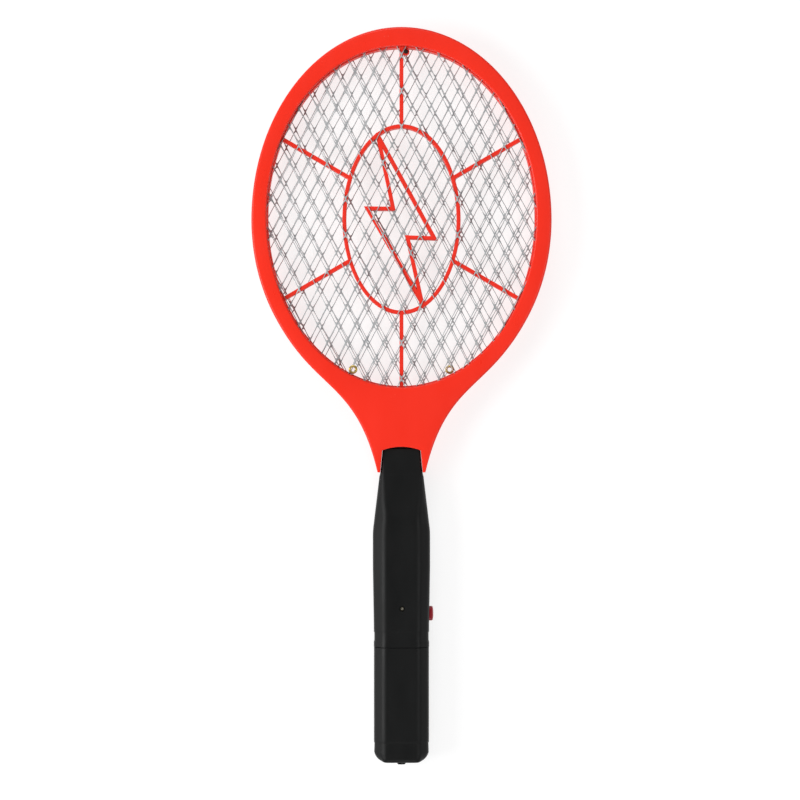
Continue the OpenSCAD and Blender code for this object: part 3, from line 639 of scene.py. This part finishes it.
def rib_frame(name, side, node):
    """Ring, spokes, oval and bolt in one piece, with round edges: side is 1 for the front."""
    frame_low, frame_high = span(node)
    rib_c = Vector((0, OVAL_Y + RIB_LIFT))
    outlines = [ellipse(frame_high.x, (frame_high.y - frame_low.y) / 2, OPEN_Y, 150),
                ellipse(OPEN_RX - LEDGE, OPEN_RY - LEDGE, OPEN_Y, 150),
                ellipse(RIB_RX + RIB_HALF, RIB_RY + RIB_HALF, rib_c.y, 96),
                ellipse(RIB_RX - RIB_HALF, RIB_RY - RIB_HALF, rib_c.y, 96)]
    bars = []
    for up in (-1, 1):
        bars.append(bar(rib_c + Vector((0, up * RIB_RY)), rib_c + Vector((0, up * OPEN_RY * 1.02)), RIB_HALF))
        for out in (-1, 1):
            start = rib_c + Vector((out * SPOKE_FROM[0], up * SPOKE_FROM[1]))
            reach = Vector((out * math.cos(SPOKE_A), up * math.sin(SPOKE_A))) * 57
            bars.append(bar(start, start + reach, RIB_HALF))
    bolt = turned([rib_c + Vector(p) for p in BOLT])
    bolt_out, bolt_in = inset(bolt, [-RIB_HALF] * 6, 0.02), inset(bolt, [RIB_HALF] * 6, 0.02)
    pads = [ellipse(1.7, 1.7, (rib_c + Vector(tip)).y, 20, tip[0]) for tip in (BOLT[0], BOLT[3])]
    if side > 0:
        low, high = span("mesh_rivet")
        pads.append(ellipse(2.2, 2.2, (low.y + high.y) / 2, 24, (low.x + high.x) / 2))
    outlines += bars + [bolt_out, bolt_in] + pads
    middle = ellipse(RIB_RX, RIB_RY, rib_c.y, 96)
    outlines.append(middle)

    def covered(p):
        ring_out, ring_in, oval_out, oval_in = outlines[:4]
        if not inside(p, ring_out):
            return False
        if not inside(p, ring_in) or (inside(p, oval_out) and not inside(p, oval_in)):
            return True
        if any(inside(p, extra) for extra in bars + pads):
            return True
        return inside(p, middle) and inside(p, bolt_out) and not inside(p, bolt_in)

    loops = region_loops(outlines, covered)
    loops.sort(key=lambda loop: -max(p.x for p in loop))
    ribs = Builder()
    flip = side < 0
    base = (frame_low.z if side > 0 else frame_high.z) - MID_Z
    tall = frame_high.z - frame_low.z
    tops, bottoms = [], []
    for loop in loops:
        rows = []
        for drawn, z in ((0.15, 0), (0, 0.15), (0, tall - 0.35), (0.1, tall - 0.1), (0.35, tall)):
            rows.append(ribs.row((p.x, p.y, MID_Z + base + side * z)
                                 for p in inset(loop, [drawn] * len(loop))))
        ribs.link(rows, flip)
        bottoms.append(rows[0])
        tops.append(rows[-1])
    ribs.fill(tops[0], tops[1:], flip)
    ribs.fill(bottoms[0], bottoms[1:], not flip)
    piece = ribs.piece(name, "body", "red_rib", [LOOKS["red_rib"]], [node])

    low, high = span("front_mesh_eyelet" if side > 0 else "back_mesh_eyelet")
    eye = (low + high) / 2
    lean = Matrix.Rotation(math.radians(LEAD_A) * (1 if eye.x > 0 else -1), 2)
    notch = [Vector((eye.x, eye.y)) + lean @ Vector(v)
             for v in ((-0.9, -12), (0.9, -12), (0.9, -1), (-0.9, -1))]
    rim = frame_high.z if side > 0 else frame_low.z
    cut(piece, [prism(notch, *sorted((rim - side * 1.7, rim + side * 0.3)))])
    return piece


# ---------- grids ----------

DIAMOND_W, DIAMOND_L = 11.4, 22.0
BOND_X, BOND_Y = 0.42, 1.3
STRAND_HALF = 0.22
BY_BOND_HALF = 0.28
SHEET_HALF = 0.25
TILT = 0.2
RUN_IN = 1.9


def strand_sections(a, b):
    """Places along a strand, its half width there and its small wanderings."""
    along = (b - a).normalized()
    across = Vector((-along.y, along.x))
    out = []
    for t, half in ((0.18, BY_BOND_HALF), (0.34, STRAND_HALF), (0.66, STRAND_HALF), (0.82, BY_BOND_HALF)):
        centre = a + (b - a) * t + across * DICE.uniform(-0.1, 0.1)
        out.append((t, centre, across * half, DICE.uniform(-0.06, 0.06)))
    return out


def lattice(name, node, sheet_z, shift, stretch, turn, holes):
    """A sheet of expanded metal: bonds joined by strands that run in under the rim."""
    sheet = Builder()
    spin = Matrix.Rotation(math.radians(turn), 2)
    centre = Vector((0, OPEN_Y))
    step = Vector((DIAMOND_W * stretch / 2, DIAMOND_L / 2))

    def place(i, j):
        return centre + spin @ Vector((shift[0] + i * step.x, shift[1] + j * step.y))

    def free(p):
        q = p - centre
        if (q.x / (OPEN_RX + RUN_IN)) ** 2 + (q.y / (OPEN_RY + RUN_IN)) ** 2 > 1:
            return False
        return all((p - Vector(c)).length > r for c, r in holes)

    def corner(p, middle, lift):
        tilt = TILT * (p.x - middle.x) + lift
        return sheet.row([(p.x, p.y, sheet_z + tilt + SHEET_HALF), (p.x, p.y, sheet_z + tilt - SHEET_HALF)])

    columns, rows = int(OPEN_RX / step.x) + 3, int(OPEN_RY / step.y) + 3
    bonds = {}
    for i in range(-columns, columns + 1):
        for j in range(-rows, rows + 1):
            p = place(i, j)
            if (i + j) % 2 and free(p):
                lift = DICE.uniform(-0.05, 0.05)
                tips = [spin @ Vector(v) for v in ((0, BOND_Y), (BOND_X, 0), (0, -BOND_Y), (-BOND_X, 0))]
                bond = [corner(p + tip, p, lift) for tip in tips]
                bonds[i, j] = bond
                sheet.add([tuple(c[0] for c in bond)[::-1], tuple(c[1] for c in bond)])

    def join(a, b):
        """Four walls between two sections, each a pair of corners: left and right."""
        (al, ar), (bl, br) = a, b
        sheet.add([(al[0], ar[0], br[0], bl[0]), (ar[1], al[1], bl[1], br[1]),
                   (al[1], al[0], bl[0], bl[1]), (ar[0], ar[1], br[1], br[0])])

    def end(section, first):
        left, right = section
        sheet.add([(left[0], left[1], right[1], right[0])], not first)

    for i in range(-columns, columns + 1):
        for j in range(-rows, rows + 1):
            if (i + j) % 2 == 0:
                continue
            for di in (-1, 1):
                a, b = place(i, j), place(i + di, j + 1)
                middle = strand_sections(a, b)
                first, last = bonds.get((i, j)), bonds.get((i + di, j + 1))
                marks = [k / 80 for k in range(81)]
                runs, run = [], []
                for t in marks:
                    if free(a + (b - a) * t):
                        run.append(t)
                    elif run:
                        runs.append(run)
                        run = []
                if run:
                    runs.append(run)
                for run in runs:
                    t0, t1 = run[0], run[-1]
                    if t1 - t0 < 0.03:
                        continue
                    across = middle[0][2].normalized() * BY_BOND_HALF
                    sections = []
                    if t0 == 0 and first:
                        n, e, s, w = first
                        sections.append((n, e) if di > 0 else (w, n))
                    else:
                        p = a + (b - a) * t0
                        sections.append((corner(p + across, p, 0), corner(p - across, p, 0)))
                    for t, p, side, lift in middle:
                        if t0 + 0.02 < t < t1 - 0.02:
                            sections.append((corner(p + side, p, lift), corner(p - side, p, lift)))
                    if t1 == 1 and last:
                        n, e, s, w = last
                        sections.append((w, s) if di > 0 else (s, e))
                    else:
                        p = a + (b - a) * t1
                        sections.append((corner(p + across, p, 0), corner(p - across, p, 0)))
                    for s0, s1 in zip(sections, sections[1:]):
                        join(s0, s1)
                    if not (t0 == 0 and first):
                        end(sections[0], True)
                    if not (t1 == 1 and last):
                        end(sections[-1], False)

    border = []
    for grow, z in ((1.2, -0.38), (1.2, 0.38), (GRID_EDGE, 0.38), (GRID_EDGE, -0.38)):
        border.append(sheet.row((p.x, p.y, sheet_z + z)
                                for p in ellipse(OPEN_RX + grow, OPEN_RY + grow, OPEN_Y, 150)))
    sheet.link([*border, border[0]], True)
    piece = sheet.piece(name, "body", "grid_metal", [LOOKS["grid_metal"]], [node])
    soften(piece, 0.09, 55, 1)
    return piece


# ---------- handle ----------

WALL = 2.0
GROOVE_HALF, GROOVE_D, GROOVE_RAMP = 3.2, 0.3, 0.5
FACE_GROOVE = 0.7
CORNER_SHRINK = 0.42
FLAT_HALF, SIDE_HALF = 10.7, 7
CORNER_STEPS = 4


def section(w, t, flat, side, r):
    """Upper half of an eight-sided section in the XZ plane, with round corners, from right to left."""
    corners = [(w, side), (flat, t), (-flat, t), (-w, side)]
    ring = [Vector((w, PARTING))]
    fence = [(w, -side), *corners, (-w, -side)]
    for k in range(1, 5):
        before, here, after = (Vector(c) for c in fence[k - 1:k + 2])
        inward, outward = before - here, after - here
        reach = min(r, inward.length * 0.45, outward.length * 0.45)
        p, q = here + inward.normalized() * reach, here + outward.normalized() * reach
        for s in range(CORNER_STEPS + 1):
            u = s / CORNER_STEPS
            ring.append((1 - u) ** 2 * p + 2 * u * (1 - u) * here + u * u * q)
    ring.append(Vector((-w, PARTING)))
    return ring


def blend_stations(stations, spread=2.2):
    """Softens the turn at each station between the first and the last."""
    out = [stations[0]]
    for before, here, after in zip(stations, stations[1:], stations[2:]):
        for other, keep in ((before, 0.0), (here, None), (after, 0.0)):
            if keep is None:
                y_mean = [(a + b) / 2 for a, b in zip(pull(here, before, spread), pull(here, after, spread))]
                out.append([here[0]] + [(h + m) / 2 for h, m in zip(here[1:], y_mean[1:])])
            else:
                out.append(pull(here, other, spread))
    return out + [stations[-1]]


def pull(here, other, spread):
    """The station that lies spread millimetres from here towards other."""
    share = min(0.4, spread / abs(other[0] - here[0]))
    return [h + (o - h) * share for h, o in zip(here, other)]


def at_station(stations, y):
    for a, b in zip(stations, stations[1:]):
        if a[0] >= y >= b[0]:
            share = (a[0] - y) / (a[0] - b[0])
            return [p + (q - p) * share for p, q in zip(a, b)]
    return stations[-1] if y < stations[-1][0] else stations[0]


def grooved(stations, groove_y, step=6.0):
    """Stations at an even pace plus the edges of a groove, as (y, w, t, flat, side, groove depth)."""
    places = {s[0] for s in stations}
    top, low = stations[0][0], stations[-1][0]
    places |= {top - step * k for k in range(1, int((top - low) / step))}
    edges = [groove_y + s * g for s in (-1, 1) for g in (GROOVE_HALF, GROOVE_HALF - GROOVE_RAMP)]
    places = {y for y in places if all(abs(y - e) > 0.3 for e in edges)} | set(edges)
    out = []
    for y in sorted(places, reverse=True):
        depth = GROOVE_D if abs(y - groove_y) <= GROOVE_HALF - GROOVE_RAMP + 0.01 else 0.0
        out.append(at_station(stations, y) + [depth])
    return out


# (y, half width, half thickness, half width of the flat front, half height of the flat side)
TONGUE_STATIONS = [
    [MOUTH_Y + 18.9, 10.7, 6.5, 10.3, 6.1],
    [MOUTH_Y + 0.5, 10.9, 5, 10.5, 4.6],
    [MOUTH_Y - 0.9, 11.2, 5, 10.7, 4.6],
]
GRIP_STATIONS = [
    [MOUTH_Y - 1.3, 11.5, 6.5, 11.1, 6],
    [-34.5, 11.7, 6.6, 11.2, 6],
    [PRONG_Y, 12.85, 8.4, 11.4, 6.6],
    [-49, 13.5, 8.8, 11.4, 6.6],
    [-64, 15.3, 11.2, 11.1, 6.9],
    [-70.5, 16.1, 12.3, 10.2, 7],
    [-75, 16.6, 13, 10.3, 7],
    [-82.4, 17.5, 13, FLAT_HALF, SIDE_HALF],
    [-104, 17.5, 13, FLAT_HALF, SIDE_HALF],
    [-140, 16.9, 13, FLAT_HALF, SIDE_HALF],
    [SEAM_Y, 16.9, 13, FLAT_HALF, SIDE_HALF],
]


def handle_shell(name, side, node):
    """Half of the handle with the tongue that the head clamps: side is 1 for the front."""
    shell = Builder()
    flip = side < 0
    outer_rows, inner_rows = [], []
    stations = grooved(TONGUE_STATIONS + blend_stations(GRIP_STATIONS), SEAM_Y + 6)
    for y, w, t, flat, edge, groove in stations:
        ring = section(w - groove, t - groove * FACE_GROOVE,
                       flat - CORNER_SHRINK * groove, edge - CORNER_SHRINK * groove, 2.2)
        ring = [Vector((ring[0].x - PARTING, 0)), *ring, Vector((ring[-1].x + PARTING, 0))]
        room = section(w - WALL, t - WALL, min(flat - 0.84, w - WALL - 0.3),
                       min(edge - 0.84, t - WALL - 0.3), 1.4)
        room = [Vector((room[0].x, 0)), *room, Vector((room[-1].x, 0))]
        for rows, points in ((outer_rows, ring), (inner_rows, room)):
            rows.append(shell.row((p.x, y, MID_Z + side * p.y) for p in points))
    shell.link(outer_rows, flip, closed=False)
    shell.link(inner_rows, not flip, closed=False)
    for place in (0, -1):
        shell.add(strip([r[place] for r in outer_rows], [r[place] for r in inner_rows], False),
                  flip == (place == 0))
        shell.add(strip(outer_rows[place], inner_rows[place], False), flip == (place == -1))
    piece = shell.piece(name, "body", "black_shell", [LOOKS["black_shell"]], [node])
    cut(piece, handle_cutters(side))
    soften(piece, 0.22, 48)
    return piece


def rounded_box(y, z, length, height, r, steps=6):
    """Outline in the YZ plane with round corners, anticlockwise seen from +X."""
    out = []
    for k, (sy, sz) in enumerate(((1, 1), (-1, 1), (-1, -1), (1, -1))):
        cy, cz = y + sy * (length / 2 - r), z + sz * (height / 2 - r)
        for s in range(steps + 1):
            a = TAU / 4 * (k + s / steps)
            out.append((cy + r * math.cos(a), cz + r * math.sin(a)))
    return out


def handle_cutters(side):
    cutters = []
    window = rounded_box((BUTTON_LOW.y + BUTTON_HIGH.y) / 2, MID_Z,
                         BUTTON_HIGH.y - BUTTON_LOW.y - 2.4, BUTTON_HIGH.z - BUTTON_LOW.z - 2.4, 2.2)
    n = len(window)
    verts = [(x, y, z) for x in (BUTTON_HIGH.x - 6.6, BUTTON_HIGH.x + 3) for y, z in window]
    faces = [tuple(range(n))[::-1], tuple(range(n, 2 * n))]
    faces += [(i, (i + 1) % n, n + (i + 1) % n, n + i) for i in range(n)]
    cutters.append((verts, faces))
    if side > 0:
        cutters.append(prism(ellipse(1.62, 1.62, LED.y, 32, LED.x), MID_Z + 6, GRIP_HIGH.z + 3))
    else:
        for x, y in ((8.5, -60), (12, -147.5)):
            for s in (-1, 1):
                cutters.append(prism(ellipse(2.35, 2.35, y, 28, s * x), -3, 5))
    return cutters


# ---------- battery sleeve ----------

SLEEVE_WALL = 1.5
END_R, END_EDGE = 7.5, 2.0
SCREW_HOLE = 1.55


def sleeve():
    """The hollow cap over the cells, with a round end and a hole for its screw."""
    tube = Builder()
    half_t = (SLEEVE_HIGH.z - SLEEVE_LOW.z) / 2
    stations = [[y, SLEEVE_HIGH.x, half_t, FLAT_HALF, SIDE_HALF] for y in (SLEEVE_HIGH.y, END_Y + 14, END_Y)]
    spots = grooved(stations, END_Y + 9, 8.0)
    spots = [s for s in spots if s[0] > END_Y + END_R - 0.5]
    rounding = [END_Y + END_R * (1 - math.sin(math.pi / 2 * k / 9)) for k in range(1, 9)]
    for y in (*rounding, END_Y + 0.35, END_Y):
        spots.append([y, SLEEVE_HIGH.x, half_t, FLAT_HALF, SIDE_HALF, 0.0])
    spots.sort(reverse=True)

    def ring(y, w, t, flat, edge, r, drawn):
        past = max(0.0, END_R - (y - END_Y))
        w -= END_R - math.sqrt(max(0.0, END_R ** 2 - past ** 2)) if past < END_R else END_R
        past = max(0.0, END_EDGE - (y - END_Y))
        t -= END_EDGE - math.sqrt(max(0.0, END_EDGE ** 2 - past ** 2))
        w, t = w - drawn, t - drawn
        flat, edge = min(flat - CORNER_SHRINK * drawn, w - 0.5), min(edge - CORNER_SHRINK * drawn, t - 0.5)
        upper = section(w, t, flat, edge, r)[1:-1]
        return upper + [Vector((-p.x, -p.y)) for p in upper]

    outer = [tube.row((p.x, y, MID_Z + p.y) for p in ring(y, w, t, f, e, 2.2, g))
             for y, w, t, f, e, g in spots]
    inner_spots = [s for s in spots if s[0] > END_Y + WALL + 0.3]
    last = inner_spots[-1]
    inner_spots.append([END_Y + WALL, *last[1:]])
    inner = [tube.row((p.x, y, MID_Z + p.y) for p in ring(max(y, END_Y + 2.4), w, t, f, e, 1.4, SLEEVE_WALL))
             for y, w, t, f, e, _ in inner_spots]

    def screw_ring(row, y):
        """The hole's edge, with a point for each point of a row round it."""
        out = []
        for i in row:
            a = math.atan2(tube.verts[i].z - MID_Z, tube.verts[i].x)
            out.append((SCREW_HOLE * math.cos(a), y, MID_Z + SCREW_HOLE * math.sin(a)))
        return tube.row(out)

    rows = [inner[0], *outer, screw_ring(outer[-1], END_Y), screw_ring(outer[-1], END_Y + WALL), *inner[::-1]]
    tube.link(rows)
    piece = tube.piece("sleeve_shell", "sleeve", "black_shell", [LOOKS["black_shell"]], ["battery_sleeve"])
    soften(piece, 0.25, 48)
    return piece


# ---------- small parts ----------

def push_button():
    """The button's cap with its round edge and crowned face, and the flange that keeps it in the handle."""
    button = Builder()
    y, z = (BUTTON_LOW.y + BUTTON_HIGH.y) / 2, MID_Z
    length, height = BUTTON_HIGH.y - BUTTON_LOW.y - 3, BUTTON_HIGH.z - BUTTON_LOW.z - 3
    x0, x1 = BUTTON_LOW.x, BUTTON_HIGH.x
    edge, crown, flange = 0.8, 0.3, 1.3
    rows = [(x0, 1.5, 2.4), (x0 + flange, 1.5, 2.4), (x0 + flange, 0, 2)]
    for k in range(6):
        a = math.pi / 2 * k / 5
        rows.append((x1 - crown - edge + edge * math.sin(a), -edge * (1 - math.cos(a)), 2))
    rows += [(x1 - crown * 0.35, -1.8, 1.2), (x1, -2.7, 0.4)]
    rings = [button.row((x, p, q) for p, q in rounded_box(y, z, length + 2 * g, height + 2 * g, max(r, 0.2)))
             for x, g, r in rows]
    button.link(rings)
    button.add([tuple(rings[0])[::-1], tuple(rings[-1])])
    piece = button.piece("button_cap", "button", "button_red", [LOOKS["button_red"]], ["push_button"])
    soften(piece, 0.15, 60)
    return piece


def eyelet(name, node):
    """A rolled brass eyelet: its wide flange faces outwards."""
    low, high = span(node)
    r = (high.x - low.x) / 2
    up = 1 if low.z > MID_Z else -1
    base = low.z if up > 0 else high.z
    tall = high.z - low.z
    ring = Builder()
    flange = [(r - 0.75 + 0.75 * math.sin(a), tall - 0.42 + 0.42 * math.cos(a))
              for a in (math.radians(d) for d in (-60, -30, 0, 25, 50, 75, 100, 125, 150))]
    profile = [(1.5, 0.1), (1.5, tall - 0.5), (1.6, tall - 0.2), *flange, (1.9, tall - 0.75), (1.9, 0.35),
               (r - 0.4, 0.3), (r - 0.3, 0.15), (r - 0.4, 0.0), (1.6, 0.0), (1.5, 0.1)]
    lathe(ring, profile[::-1], ((low.x + high.x) / 2, (low.y + high.y) / 2, base), (0, 0, up), 36)
    return ring.piece(name, "body", "eyelet_brass", [LOOKS["eyelet_brass"]], [node])


def cell(name, node, up):
    """A dry cell with a rolled jacket, a stepped cap and a recessed end. up is 1 if the cap is at +Y."""
    low, high = span(node)
    r, tall = (high.x - low.x) / 2, high.y - low.y
    body = Builder()
    centre = ((low.x + high.x) / 2, low.y if up > 0 else high.y, (low.z + high.z) / 2)
    axis = (0, up, 0)
    lower = [(0, 0.35), (4.0, 0.3), (4.4, 0.0), (r - 0.9, 0.0), (r - 0.5, 0.35)]
    jacket = [(r - 0.5, 0.35), (r - 0.1, 0.45), (r, 0.9), (r, tall - 2.2), (r - 0.15, tall - 1.7),
              (r - 0.9, tall - 1.45)]
    cap = [(r - 0.9, tall - 1.45), (r - 1.6, tall - 1.5), (r - 2.0, tall - 1.85), (3.2, tall - 1.85),
           (2.75, tall - 1.5), (2.7, tall - 0.35), (2.35, tall - 0.05), (0, tall)]
    lathe(body, lower, centre, axis, 40, 1)
    lathe(body, jacket, centre, axis, 40, 0)
    lathe(body, cap, centre, axis, 40, 1)
    return body.piece(name, "body", "cell_jacket", [LOOKS["cell_jacket"], LOOKS["cell_steel"]], [node])


def carried_over():
    """CAD nodes that stay, each with its own material, and edge rounding where a width is given."""
    for name, width, look in (
        ("head_screws", 0.2, "screw_steel"), ("handle_screws", 0.2, "screw_steel"),
        # the mesh rivet's near-black tone is painted shade, not the metal's own colour
        ("mesh_rivet", 0.15, "rivet_dark"),
        ("high_voltage_lead", 0, "wire_red"), ("front_ground_lead", 0, "wire_white"),
        ("back_ground_lead", 0, "wire_white"), ("positive_battery_lead", 0, "wire_red"),
        ("negative_battery_lead", 0, "wire_black"),
        ("switch_plunger", 0.2, "switch_white"), ("switch_body", 0.25, "switch_black"),
        ("led", 0.08, "led_lens"), ("circuit_board", 0.12, "board_brown"),
        ("transformer_core", 0.3, "ferrite"), ("transformer_winding", 0.15, "winding_tape"),
        ("output_capacitor", 0.6, "capacitor_red"), ("multiplier_capacitors", 0.6, "capacitor_blue"),
        ("rectifier_diodes", 0.12, "diode_black"), ("transistor", 0.15, "transistor_black"),
        ("resistors", 0.12, "resistor_tan"), ("battery_tray", 0.3, "black_tray"),
        ("positive_contact", 0.1, "contact_nickel"), ("negative_contact", 0.06, "contact_nickel"),
        ("bridge_contact", 0.06, "contact_nickel"), ("cover_screw", 0.35, "screw_black"),
    ):
        soften_node(name, width, LOOKS[look])


# ---------- the object ----------

def build():
    head_shell("head_shell_front", 1, "head_front_shell")
    head_shell("head_shell_back", -1, "head_back_shell")
    rib_frame("ribs_front", 1, "front_rib_frame")
    rib_frame("ribs_back", -1, "back_rib_frame")
    front_low, front_high = span("front_mesh_eyelet")
    back_low, back_high = span("back_mesh_eyelet")
    front_hole = (((front_low.x + front_high.x) / 2, (front_low.y + front_high.y) / 2), 2.0)
    back_hole = (((back_low.x + back_high.x) / 2, (back_low.y + back_high.y) / 2), 2.0)
    sheets = (("grid_front", "front_mesh", (0, 0), 1.0, 0.0, [front_hole]),
              ("grid_middle", "middle_mesh", (1.6, 2.5), 1.023, 0.6, []),
              ("grid_back", "back_mesh", (3, -1.5), 1.0, -0.5, [back_hole]))
    for name, node, shift, stretch, turn, holes in sheets:
        low, high = span(node)
        lattice(name, node, (low.z + high.z) / 2, shift, stretch, turn, holes)
    handle_shell("handle_shell_front", 1, "handle_front_shell")
    handle_shell("handle_shell_back", -1, "handle_back_shell")
    sleeve()
    push_button()
    eyelet("eyelet_front", "front_mesh_eyelet")
    eyelet("eyelet_back", "back_mesh_eyelet")
    cell("cell_left", "battery_left", 1)
    cell("cell_right", "battery_right", -1)
    carried_over()


# ---------- stage ----------

# (name, place in metres, watts, width in metres)
LAMPS = [
    ("left", (-1.3, -0.1, 0.9), 20, 1.0),
    ("right", (1.4, -0.2, 1.6), 8, 0.9),
    ("top", (-0.2, 1.5, 1.3), 9, 0.8),
    ("low", (0.1, -1.5, 1.3), 9, 1.1),
]
FLOOR_HALF = 10.0
CAMERA_UP, SEEN = 1.6, 0.4906
SENSOR = 36


def stage():
    """Pale floor that glows a little, as a light table does, four soft lamps and the camera."""
    size = FLOOR_HALF
    mesh = bpy.data.meshes.new("floor")
    corners = [(-size, -size, 0), (size, -size, 0), (size, size, 0), (-size, size, 0)]
    mesh.from_pydata(corners, [], [(0, 1, 2, 3)])
    floor = bpy.data.objects.new("floor", mesh)
    bpy.context.scene.collection.objects.link(floor)
    pale = Look("floor_paper")
    pale.shader.inputs["Base Color"].default_value = (0.3, 0.3, 0.3, 1)
    pale.shader.inputs["Roughness"].default_value = 0.9
    pale.shader.inputs["Emission Color"].default_value = (1, 1, 1, 1)
    pale.shader.inputs["Emission Strength"].default_value = 0.76
    mesh.materials.append(pale.material)

    world = bpy.data.worlds.new("studio")
    world.use_nodes = True
    world.node_tree.nodes["Background"].inputs["Color"].default_value = (1, 1, 1, 1)
    world.node_tree.nodes["Background"].inputs["Strength"].default_value = 0.26
    bpy.context.scene.world = world
    bpy.context.scene.view_settings.view_transform = "Standard"

    for name, place, power, width in LAMPS:
        light = bpy.data.lights.new(name, "AREA")
        light.energy, light.size = power, width
        lamp = bpy.data.objects.new(name, light)
        lamp.location = place
        lamp.rotation_mode = "QUATERNION"
        lamp.rotation_quaternion = (-Vector(place)).to_track_quat("-Z", "Y")
        bpy.context.scene.collection.objects.link(lamp)

    camera = bpy.data.cameras.new("camera")
    eye = bpy.data.objects.new("camera", camera)
    bpy.context.scene.collection.objects.link(eye)
    centre = (cad_low + cad_high) / 2
    camera.sensor_width = SENSOR
    camera.lens = SENSOR * CAMERA_UP / SEEN
    eye.location = (centre.x - 0.0009, centre.y - 0.0023, MID_Z * MM + CAMERA_UP)
    bpy.context.scene.camera = eye


build()
stage()
